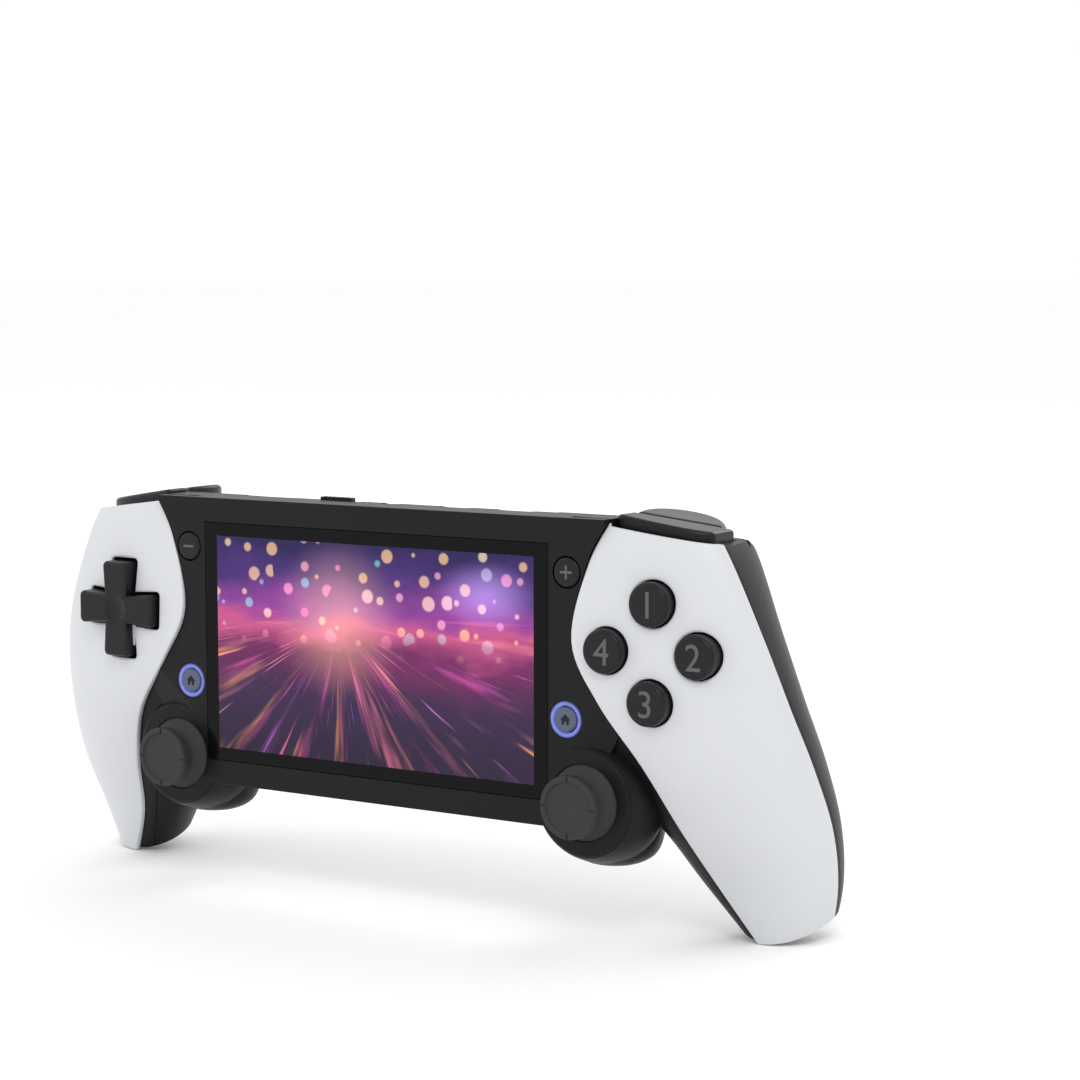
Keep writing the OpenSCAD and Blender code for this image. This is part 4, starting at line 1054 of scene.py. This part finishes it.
def shoulder_ribs():
    ribs = []
    for u in RIB_US:
        ribs.append(prism([
            (0, RIB_Z[2] - LEDGE_T), (PIN_V - 2, RIB_Z[2] - LEDGE_T), (PIN_V - 1, RIB_Z[0]),
            (RIB_BACK, RIB_Z[0]), (RIB_BACK, RIB_Z[1]), (RIB_V + 0.5, RIB_Z[1]), (RIB_V, RIB_Z[2]),
            (PIN_V + 2, RIB_Z[2]), (PIN_V + RIB_EYE, PIN_Z + RIB_EYE), (PIN_V - RIB_EYE, PIN_Z + RIB_EYE),
            (PIN_V - 2, RIB_Z[2]), (0, RIB_Z[2])],
            0, u, u + RIB_T))
    low, high = RIB_Z[2] - LEDGE_T, RIB_Z[2] - BOARD_T
    ribs.append(block(RIB_US[0] + RIB_T / 2, RIB_US[0] + RIB_T + LEDGE_W, 1, RIB_V, low, high))
    ribs.append(block(RIB_US[1] - LEDGE_W, RIB_US[1] + RIB_T / 2, 1, RIB_V, low, high))
    return [moved(rib, SHOULDER) for rib in ribs]


def inside_grip(tools):
    """What of some pieces lies within the middle of a grip's wall, on both sides."""
    return both_sides([combine(union(tools), "INTERSECT", [grip(WALL / 2)])])


def top_openings():
    cuts = [prism(stadium(x, SOCKET_Y, w, t), 2, SOCKET_LOW, FAR) for x, w, t in SOCKETS]
    cuts.append(prism(circle(JACK_X, SOCKET_Y, JACK_R), 2, SOCKET_LOW, FAR))
    cuts.append(block(KNOB_X - KNOB_LEN / 2 - KEY_GAP, KNOB_X + KNOB_LEN / 2 + KNOB_TRAVEL + KEY_GAP,
                      SOCKET_Y - KNOB_W / 2 - KEY_GAP, SOCKET_Y + KNOB_W / 2 + KEY_GAP, SOCKET_LOW, FAR))
    return cuts


def grilles():
    """Two slots in the rear panel with a row of holes each, some of them open."""
    cuts = []
    for side in (-1, 1):
        cuts.append(prism(stadium(side * GRILLE_X, GRILLE_Z, GRILLE_LEN, GRILLE_H), 1,
                          BODY_T - GRILLE_DEEP, BODY_T + 1))
        for i in range(GRILLE_HOLES):
            x = side * (GRILLE_X + (i - (GRILLE_HOLES - 1) / 2) * GRILLE_PITCH)
            through_wall = side < 0 and i >= GRILLE_HOLES - OPEN_HOLES
            bottom = BODY_T - WALL - 1 if through_wall else BODY_T - GRILLE_DEEP - 0.5
            cuts.append(rod_y(x, GRILLE_Z, bottom, BODY_T, GRILLE_HOLE_R, steps=32))
    return cuts


def plate_cuts():
    """Openings in the front of the front shell."""
    w, h = LENS_HALF_W + SEAM, LENS_HALF_H + SEAM
    view_w, view_h = VIEW_HALF_W + VIEW_MARGIN, VIEW_HALF_H + VIEW_MARGIN
    cuts = [block(-w, w, -1, LENS_SEAT, -h, h), block(-view_w, view_w, -1, WALL + 1, -view_h, view_h)]
    sides = key_hole(OPTION_X, OPTION_Z, WALL, OPTION_R)
    sides += [rod_y(HOME_X, HOME_Z, -1, WALL + LAP, RING_R + SEAM),
              rod_y(HOME_X, HOME_Z, WALL, STEM_Y + 1, RING_R + KEY_GAP)]
    sides += [ball(STICK, BOWL_R + BOWL_GAP)]
    sides += [rod_y(x, z, seat - SCREW_LEN, joint + 1, SCREW_R) for x, z, joint, seat in SCREWS]
    cuts += both_sides(sides)
    cuts += [prism(cross_outline(DPAD_GAP), 1, -FRONT_REACH, DPAD_SEAT_Y + LAP),
             prism(cross_outline(DPAD_FLANGE + DPAD_GAP), 1, DPAD_SEAT_Y, STEM_Y + 1)]
    for way in BUTTONS:
        x, z = button_place(way)
        cuts += key_hole(x, z, button_seat(x, z), BUTTON_R)
    return cuts


def front_shell(body, hollow):
    shell = combine(copy_of(body), "INTERSECT", [front_zone(0)])
    combine(shell, "DIFFERENCE", [copy_of(hollow)] + both_sides(shoulder_pocket()))
    bosses = [rod_y(x, z, 0, joint - SEAM, BOSS_R) for x, z, joint, _ in SCREWS]
    combine(shell, "UNION", inside_grip(bosses))
    return combine(shell, "DIFFERENCE", plate_cuts() + top_openings())


def rear_shell(body, hollow):
    shell = combine(copy_of(body), "DIFFERENCE", [front_zone(sizes().parting / MM), copy_of(hollow)]
                    + both_sides(shoulder_pocket()))
    tubes = [rod_y(x, z, joint, GRIP_DEPTH + SCREW_HEAD_REACH, TUBE_R) for x, z, joint, _ in SCREWS]
    combine(shell, "UNION", inside_grip(tubes + shoulder_ribs()))
    places = arc((STICK.x, STICK.z), STICK_POST_RING, 45, 315, 3)
    stick_posts = [rod_y(px, pz, STICK_POST_Y, GRIP_DEPTH, STICK_POST_R) for px, pz in places]
    held = both_sides([combine(post, "INTERSECT", [bullet(WALL / 2)]) for post in stick_posts])
    low_x, high_z = BOARD_POST_X - LOW_POST_IN, BOARD_POST_Z - HIGH_POST_DROP
    places = ((-low_x, -BOARD_POST_Z), (low_x, -BOARD_POST_Z), (-BOARD_POST_X, high_z),
              (BOARD_POST_X, high_z))
    posts = [rod_y(px, pz, BOARD_BACK, BODY_T - WALL / 2, BOARD_POST_R) for px, pz in places]
    combine(shell, "UNION", held + posts)
    bores = [rod_y(x, z, joint - 1, seat + 1, SCREW_R) for x, z, joint, seat in SCREWS]
    bores += [rod_y(x, z, seat, GRIP_DEPTH + SCREW_HEAD_REACH, BORE_R) for x, z, _, seat in SCREWS]
    return combine(shell, "DIFFERENCE", both_sides(bores + [pin_rod(PIN_R)]) + top_openings() + grilles())


def flared_hole(outline):
    """A hole through a cover whose front edge is rounded along the cover's face."""
    rings = [[(x, cover_y(abs(x), z) + below, z) for x, z in outline(out)]
             for out, below in HOLE_FLARE]
    return loft(rings + [[(x, HOLE_BACK, z) for x, z in outline(0)]])


def cover_blank():
    made = loft([cover_outline(row) for row in station_rows()])
    return combine(made, "DIFFERENCE", [end_cut(0), bumper_cut(-0.4)])


def lettering(text, height, depth):
    """A figure as a flat mesh that faces the front, with its middle at zero, in millimetres."""
    curve = bpy.data.curves.new("figure", "FONT")
    curve.body = text
    curve.align_x = "CENTER"
    curve.align_y = "CENTER"
    curve.size = height / FIGURE_SHARE
    curve.extrude = depth / 2
    holder = bpy.data.objects.new("figure", curve)
    bpy.context.scene.collection.objects.link(holder)
    bpy.context.view_layer.update()
    mesh = bpy.data.meshes.new_from_object(holder.evaluated_get(bpy.context.evaluated_depsgraph_get()))
    bpy.data.objects.remove(holder)
    bpy.data.curves.remove(curve)
    bm = bmesh.new()
    bm.from_mesh(mesh)
    bpy.data.meshes.remove(mesh)
    bmesh.ops.remove_doubles(bm, verts=bm.verts, dist=1e-4)
    bmesh.ops.rotate(bm, cent=(0, 0, 0), matrix=Matrix.Rotation(math.pi / 2, 3, "X"), verts=bm.verts)
    low = [min(v.co[k] for v in bm.verts) for k in range(3)]
    high = [max(v.co[k] for v in bm.verts) for k in range(3)]
    bmesh.ops.translate(bm, vec=[-(a + b) / 2 for a, b in zip(low, high)], verts=bm.verts)
    return solid(bm)


def marked(shape, face):
    """A flat mark laid on a face of the console."""
    return moved(shape, Matrix.Translation((0, face - sizes().mark_depth / MM / 2, 0)))


class CONSOLE_OT_shells(bpy.types.Operator):
    """Front and rear shell with their openings, posts and the line between them"""

    bl_idname = "console.shells"
    bl_label = "Shells"

    def execute(self, context):
        body, hollow = body_solid(), body_cavity()
        front, rear = front_shell(body, hollow), rear_shell(body, hollow)
        finish_piece(front, "front_housing", "housing", "shell_plastic", ["front_shell"])
        finish_piece(rear, "rear_housing", "housing", "shell_plastic", ["rear_shell"])
        discard([body, hollow])
        return {"FINISHED"}


class CONSOLE_OT_covers(bpy.types.Operator):
    """White covers of the grips, with the holes of the keys rounded along their faces"""

    bl_idname = "console.covers"
    bl_label = "Grip covers"

    def execute(self, context):
        holes = []
        for way in BUTTONS:
            x, z = button_place(way)
            holes.append(flared_hole(lambda out, x=x, z=z: circle(x, z, BUTTON_R + KEY_GAP + out)))
        right = combine(cover_blank(), "DIFFERENCE", holes)
        blank = cover_blank()
        cross = flared_hole(lambda out: cross_outline(DPAD_GAP + out))
        left = combine(mirrored(blank), "DIFFERENCE", [cross])
        discard([blank])
        finish_piece(right, "right_grip_cover", "housing", "cover_plastic", ["right_cover"])
        finish_piece(left, "left_grip_cover", "housing", "cover_plastic", ["left_cover"])
        return {"FINISHED"}


class CONSOLE_OT_screen(bpy.types.Operator):
    """Window of the screen with its dark border and a lit picture"""

    bl_idname = "console.screen"
    bl_label = "Screen"

    def execute(self, context):
        lens = block(-LENS_HALF_W, LENS_HALF_W, 0, 1, -LENS_HALF_H, LENS_HALF_H)
        round_edges(lens, LENS_BEVEL, 40, 2)
        finish_piece(lens, "screen_window", "housing", "screen_glass", ["screen_lens"])
        return {"FINISHED"}


class CONSOLE_OT_direction_pad(bpy.types.Operator):
    """Cross-shaped pad with rounded edges and a hollow in its middle"""

    bl_idname = "console.direction_pad"
    bl_label = "Direction pad"

    def execute(self, context):
        edge = along(DPAD_EDGE)
        rings = [[(x, DPAD_FACE + below, z) for x, z in cross_outline(grow)] for grow, below in edge]
        pad = loft(rings + [[(x, DPAD_FLANGE_Y + LAP, z) for x, z in cross_outline(0)]])
        feet = [prism(cross_outline(DPAD_FLANGE), 1, DPAD_FLANGE_Y, DPAD_FLANGE_Y + DPAD_FLANGE_T)]
        feet += [rod_y(DOME_RING * c - GROUP_X, GROUP_Z + DOME_RING * s, DPAD_FLANGE_Y, STEM_Y, DPAD_FOOT_R)
                 for c, s in ((1, 0), (0, 1), (-1, 0), (0, -1))]
        combine(pad, "UNION", feet)
        seat = DPAD_BALL_R + PIVOT_FIT
        combine(pad, "DIFFERENCE", [
            ball(DPAD_BALL, seat), rod_y(DPAD_BALL.x, DPAD_BALL.z, DPAD_BALL.y, STEM_Y + 1, seat),
            ball((-GROUP_X, DPAD_FACE + HOLLOW - HOLLOW_R, GROUP_Z), HOLLOW_R)])
        finish_piece(pad, "direction_pad", "dpad", "key_plastic", ["dpad"])
        return {"FINISHED"}


class CONSOLE_OT_face_buttons(bpy.types.Operator):
    """Four round buttons with a figure on each"""

    bl_idname = "console.face_buttons"
    bl_label = "Face buttons"

    def execute(self, context):
        for figure, way in zip("1234", BUTTONS):
            x, z = button_place(way)
            face = cover_y(x, z) - BUTTON_PROUD
            node = "face_button_" + way
            key = round_key(x, z, face, button_seat(x, z), BUTTON_R, STEM_Y, BUTTON_EDGE)
            finish_piece(key, "button_" + way, node, "key_plastic", [node])
            mark = lettering(figure, sizes().mark_height / MM, sizes().mark_depth / MM)
            moved(mark, Matrix.Translation((x, 0, z)))
            finish_piece(marked(mark, face), "button_mark_" + way, node, "mark_print")
        return {"FINISHED"}


class CONSOLE_OT_plate_buttons(bpy.types.Operator):
    """Option buttons with a minus and a plus, and home buttons in their light rings"""

    bl_idname = "console.plate_buttons"
    bl_label = "Plate buttons"

    def execute(self, context):
        depth = sizes().mark_depth / MM / 2
        for side, name, word in ((-1, "minus", "left"), (1, "plus", "right")):
            x = side * OPTION_X
            key = round_key(x, OPTION_Z, PLATE_FACE, WALL, OPTION_R, PLATE_STEM_Y)
            finish_piece(key, name + "_key", name + "_button", "key_plastic", [name + "_button"])
            long, wide = STROKE_LEN, STROKE_W
            mark = block(x - long, x + long, -depth, depth, OPTION_Z - wide, OPTION_Z + wide)
            if side > 0:
                combine(mark, "UNION", [
                    block(x - wide, x + wide, -depth, depth, OPTION_Z - long, OPTION_Z + long)])
            finish_piece(marked(mark, PLATE_FACE), name + "_mark", name + "_button", "mark_print")
            x = side * HOME_X
            node = word + "_home_button"
            key = round_key(x, HOME_Z, PLATE_FACE, WALL, HOME_R, PLATE_STEM_Y)
            finish_piece(key, word + "_home_key", node, "home_plastic", [node])
            mark = prism([(x + px, HOME_Z + pz) for px, pz in HOUSE], 1, -depth, depth)
            finish_piece(marked(mark, PLATE_FACE), word + "_home_mark", node, "key_plastic")
            inner = HOME_R + KEY_GAP
            profile = [(inner, WALL), (inner, RING_FACE)]
            profile += arc((inner + RING_EDGE, RING_FACE), RING_EDGE, 180, 270, 4)
            profile += arc((RING_R - RING_EDGE, RING_FACE), RING_EDGE, -90, 0, 4)
            ring = turned_y(x, HOME_Z, profile + [(RING_R, WALL), (inner, WALL)])
            ring_node = word + "_home_ring"
            finish_piece(ring, word + "_ring_light", "housing", "ring_light", [ring_node])
        return {"FINISHED"}


class CONSOLE_OT_sticks(bpy.types.Operator):
    """Thumbsticks with a notched rim, a dish, a neck and a dome that hides the opening"""

    bl_idname = "console.sticks"
    bl_label = "Thumbsticks"

    def execute(self, context):
        pivot, face, r = STICK.y, STICK_FACE, STICK_R
        back = face + STICK_CAP_T
        lean = math.degrees(math.asin(STICK_NECK_R / BOWL_R)) - 90
        inner = BOWL_R - BOWL_T
        rim, turn = r - STICK_RIM, RIM_ROUND
        profile = [(across, face + deep) for across, deep in STICK_DISH] + [(rim - 0.6, face + 0.52)]
        profile += arc((rim - 0.35, face + turn), turn, 90, 0, 4)[1:]
        profile += arc((rim + 0.15, face + turn), turn, 180, 270, 4)
        profile += arc((r - EDGE_R, face + EDGE_R), EDGE_R, -90, 0)
        profile += arc((r - EDGE_R, back - EDGE_R), EDGE_R, 0, 90)
        profile += [(STICK_NECK_R + 0.6, back + 0.1), (STICK_NECK_R, back + 0.6)]
        profile += arc((0, pivot), BOWL_R, lean, BOWL_ANGLE - 90, 24)
        profile += arc((0, pivot), inner, BOWL_ANGLE - 90, math.degrees(math.asin(POST_R / BOWL_R)) - 90, 24)
        profile += [(POST_R, pivot - FORK_IN - 1), (0, pivot - FORK_IN - 1)]
        for side, word in ((-1, "left"), (1, "right")):
            x, z = side * STICK.x, STICK.z
            cap = turned_y(x, z, profile, 128)
            notch = block(-NOTCH_HALF, NOTCH_HALF, face - 1, face + NOTCH_DEEP, r - STICK_RIM - LAP, r + 1)
            middle = Matrix.Translation((x, 0, z))
            notches = [moved(copy_of(notch), middle @ Matrix.Rotation(k * math.pi / 2, 4, "Y"))
                       for k in range(4)]
            discard([notch])
            combine(cap, "DIFFERENCE", notches)
            fork = block(x - FORK_HALF, x + FORK_HALF, pivot - FORK_IN - 3, pivot + FORK_HALF,
                         z - FORK_OUT, z + FORK_OUT)
            pin = moved(rod_y(0, 0, -FORK_OUT - 1, FORK_OUT + 1, CROSS_PIN_R + PIVOT_FIT),
                        Matrix.Translation((x, pivot, z)) @ Matrix.Rotation(math.pi / 2, 4, "X"))
            combine(fork, "DIFFERENCE", [
                block(x - 3, x + 3, pivot - FORK_IN, pivot + 4, z - FORK_IN, z + FORK_IN), pin])
            combine(cap, "UNION", [fork])
            node = word + "_stick_cap"
            finish_piece(cap, word + "_stick", node, "stick_rubber", [node])
        return {"FINISHED"}


class CONSOLE_OT_shoulder_keys(bpy.types.Operator):
    """Bumpers and triggers with rounded edges"""

    bl_idname = "console.shoulder_keys"
    bl_label = "Shoulder keys"

    def execute(self, context):
        width = sizes().key_bevel / MM
        bumper = combine(prism(bumper_plan(0), 2, BUMPER_BOTTOM, FAR), "DIFFERENCE", [above_keys(0)])
        round_edges(bumper, width, 40, 4)
        trigger = combine(moved(prism(trigger_plan(0, TRIGGER_V), 2, TRIGGER_BOTTOM, FAR), SHOULDER),
                          "DIFFERENCE", [above_keys(0)])
        round_edges(trigger, TRIGGER_ROUND * width, 40, 5, lambda at: at.z > HALF_H - TRIGGER_ROUND_DROP)
        inside = prism(trigger_plan(-TRIGGER_WALL, TRIGGER_V - 1), 2, TRIGGER_BOTTOM - 1, FAR)
        combine(moved(inside, SHOULDER), "DIFFERENCE", [above_keys(TRIGGER_WALL)])
        combine(trigger, "DIFFERENCE", [inside])
        top, back = PIN_Z + LUG_TOP, 2 * PIN_V - TRIGGER_V
        lugs = [block(u, u + LUG_T, TRIGGER_V, back, PIN_Z - LUG_LOW, top) for u in LUG_US]
        lugs.append(prism(circle(TRIGGER_U, PUSH_V, PUSH_R), 2, PIN_Z - PUSH_LOW, top))
        for lug in lugs:
            combine(moved(lug, SHOULDER), "DIFFERENCE",
                    [above_keys(TRIGGER_WALL / 2), pin_rod(PIN_R + PIVOT_FIT)])
        combine(trigger, "UNION", lugs)
        for word, shape in (("left", mirrored), ("right", copy_of)):
            for key, kind in ((bumper, "bumper"), (trigger, "trigger")):
                node = word + "_" + kind
                finish_piece(shape(key), node + "_key", node, "key_plastic", [node])
        discard([bumper, trigger])
        return {"FINISHED"}


class CONSOLE_OT_power_switch(bpy.types.Operator):
    """Grooved slider on the top edge"""

    bl_idname = "console.power_switch"
    bl_label = "Power switch"

    def execute(self, context):
        x0, x1 = KNOB_X - KNOB_LEN / 2, KNOB_X + KNOB_LEN / 2
        y0, y1 = SOCKET_Y - KNOB_W / 2, SOCKET_Y + KNOB_W / 2
        low, top = HALF_H - WALL - 2, HALF_H + KNOB_PROUD
        knob = round_edges(block(x0, x1, y0, y1, low, top), KNOB_BEVEL, 40, 3)
        count = sizes().knob_ridges
        places = [x0 + (i + 1) * KNOB_LEN / (count + 1) for i in range(count)]
        half = GROOVE_W / 2
        combine(knob, "DIFFERENCE", [
            block(x - half, x + half, y0 - 1, y1 + 1, top - GROOVE_DEEP, top + 1) for x in places])
        foot = block(x0 - FOOT_LEN, x1 + FOOT_LEN, SOCKET_Y - FOOT_HALF, SOCKET_Y + FOOT_HALF, low, low + 1)
        combine(knob, "UNION", [foot])
        finish_piece(knob, "power_slider", "power_switch", "key_plastic", ["power_switch"])
        return {"FINISHED"}


INNER = {
    "stamped_steel": ["lcd_panel", "left_stick_base", "right_stick_base", "left_stick_yoke",
                      "right_stick_yoke", "left_trigger_pin", "right_trigger_pin", "card_reader",
                      "usb_port", "picture_port", "case_screws"],
    "board_mask": ["main_board", "left_shoulder_board", "right_shoulder_board"],
    "battery_wrap": ["battery"],
    "inner_plastic": ["left_speaker", "right_speaker", "dpad_rocker", "headphone_jack"],
    "membrane_silicone": ["dpad_membrane", "button_membrane"],
}


class CONSOLE_OT_inner_parts(bpy.types.Operator):
    """Finishes of the boards, sockets and other parts that keep their own shape"""

    bl_idname = "console.inner_parts"
    bl_label = "Inner parts"

    def execute(self, context):
        for name, nodes in INNER.items():
            for node in nodes:
                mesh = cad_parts[node].data
                mesh.materials.clear()
                mesh.materials.append(finish_of(name))
        return {"FINISHED"}


# The camera was solved from the four corners of the lit picture in the photograph.

CAMERA_TURN = (32.875, 5.674, -0.082)
CAMERA_AWAY = Vector((-41.383, 28.162, 648.244))
CAMERA_LENS = 88.92
SENSOR_W = 36.0
FLOOR_R = 40.0
FLOOR_DROP = 0.0002
ROOM_COLOUR = (1.0, 1.0, 1.0, 1)
ROOM_LIGHT = 1.02
# Name, place, aim, size in metres, power in watts and colour of each lamp
LAMPS = (
    ("key_lamp", (0.9, -1.2, 1.5), (0.0, 0.0, 0.05), 0.7, 9.0, (1.0, 0.99, 0.97)),
    ("fill_lamp", (-1.4, -0.9, 0.9), (0.0, 0.0, 0.05), 0.9, 3.0, (0.96, 0.98, 1.0)),
    ("rear_lamp", (0.2, 1.5, 1.2), (0.0, 0.0, 0.05), 0.9, 9.0, (1.0, 1.0, 1.0)),
)


class CONSOLE_OT_stage(bpy.types.Operator):
    """Pale floor, soft lamps, pale surroundings and the photograph's camera"""

    bl_idname = "console.stage"
    bl_label = "Stage"

    def execute(self, context):
        scene = context.scene
        yaw, pitch, roll = (math.radians(a) for a in CAMERA_TURN)
        swap = Matrix(((1, 0, 0), (0, 0, -1), (0, 1, 0)))
        tilt = Matrix.Rotation(roll, 3, "Z") @ Matrix.Rotation(pitch, 3, "X")
        turn = tilt @ Matrix.Rotation(yaw, 3, "Y") @ swap
        place = TO_FRAME @ -(turn.transposed() @ CAMERA_AWAY)
        lens = bpy.data.cameras.new("photo_camera")
        lens.lens = CAMERA_LENS
        lens.sensor_width = SENSOR_W
        camera = bpy.data.objects.new("photo_camera", lens)
        axes = Matrix((turn[0], -turn[1], -turn[2])).transposed()
        camera.matrix_world = Matrix.Translation(place) @ axes.to_4x4()
        scene.collection.objects.link(camera)
        scene.camera = camera
        bm = bmesh.new()
        bmesh.ops.create_circle(bm, cap_ends=True, segments=128, radius=FLOOR_R)
        bmesh.ops.translate(bm, vec=(0, 0, -FLOOR_DROP), verts=bm.verts)
        floor = solid(bm, "floor")
        finish = Finish("floor_paint", Roughness=0.75, Specular_IOR_Level=0.2)
        clouds = finish.noise(finish.place(), 3.0, 3.0)
        finish.set(Base_Color=finish.blend(clouds, shade(colours().floor, 0.985), colours().floor))
        floor.data.materials.append(finish.material)
        for name, spot, aim, size, power, colour in LAMPS:
            data = bpy.data.lights.new(name, "AREA")
            data.size = size
            data.energy = power
            data.color = colour
            lamp = bpy.data.objects.new(name, data)
            lamp.location = spot
            lamp.rotation_euler = (Vector(aim) - Vector(spot)).to_track_quat("-Z", "Y").to_euler()
            scene.collection.objects.link(lamp)
        world = bpy.data.worlds.new("pale_room")
        world.use_nodes = True
        air = world.node_tree.nodes["Background"]
        air.inputs["Color"].default_value = ROOM_COLOUR
        air.inputs["Strength"].default_value = ROOM_LIGHT
        scene.world = world
        scene.view_settings.view_transform = "Standard"
        return {"FINISHED"}


PIECES = (
    CONSOLE_OT_shells, CONSOLE_OT_covers, CONSOLE_OT_screen, CONSOLE_OT_direction_pad,
    CONSOLE_OT_face_buttons, CONSOLE_OT_plate_buttons, CONSOLE_OT_sticks, CONSOLE_OT_shoulder_keys,
    CONSOLE_OT_power_switch,
    CONSOLE_OT_inner_parts, CONSOLE_OT_stage,
)


class CONSOLE_PT_panel(bpy.types.Panel):
    """Lists the steps that build the console"""

    bl_idname = "CONSOLE_PT_panel"
    bl_label = "Console"
    bl_space_type = "VIEW_3D"
    bl_region_type = "UI"
    bl_category = "Console"

    def draw(self, context):
        column = self.layout.column()
        for piece in PIECES:
            column.operator(piece.bl_idname)
        for group in (sizes(), colours()):
            box = self.layout.box()
            for key in group.__annotations__:
                box.prop(group, key)


CLASSES = (ConsoleSizes, ConsoleColours) + PIECES + (CONSOLE_PT_panel,)


def register():
    for made in CLASSES:
        bpy.utils.register_class(made)
    bpy.types.Scene.console_sizes = bpy.props.PointerProperty(type=ConsoleSizes)
    bpy.types.Scene.console_colours = bpy.props.PointerProperty(type=ConsoleColours)


def unregister():
    del bpy.types.Scene.console_colours
    del bpy.types.Scene.console_sizes
    for made in reversed(CLASSES):
        bpy.utils.unregister_class(made)


def main():
    register()
    bpy.ops.console.shells()
    bpy.ops.console.covers()
    bpy.ops.console.screen()
    bpy.ops.console.direction_pad()
    bpy.ops.console.face_buttons()
    bpy.ops.console.plate_buttons()
    bpy.ops.console.sticks()
    bpy.ops.console.shoulder_keys()
    bpy.ops.console.power_switch()
    bpy.ops.console.inner_parts()
    bpy.ops.console.stage()


if __name__ == "__main__":
    main()
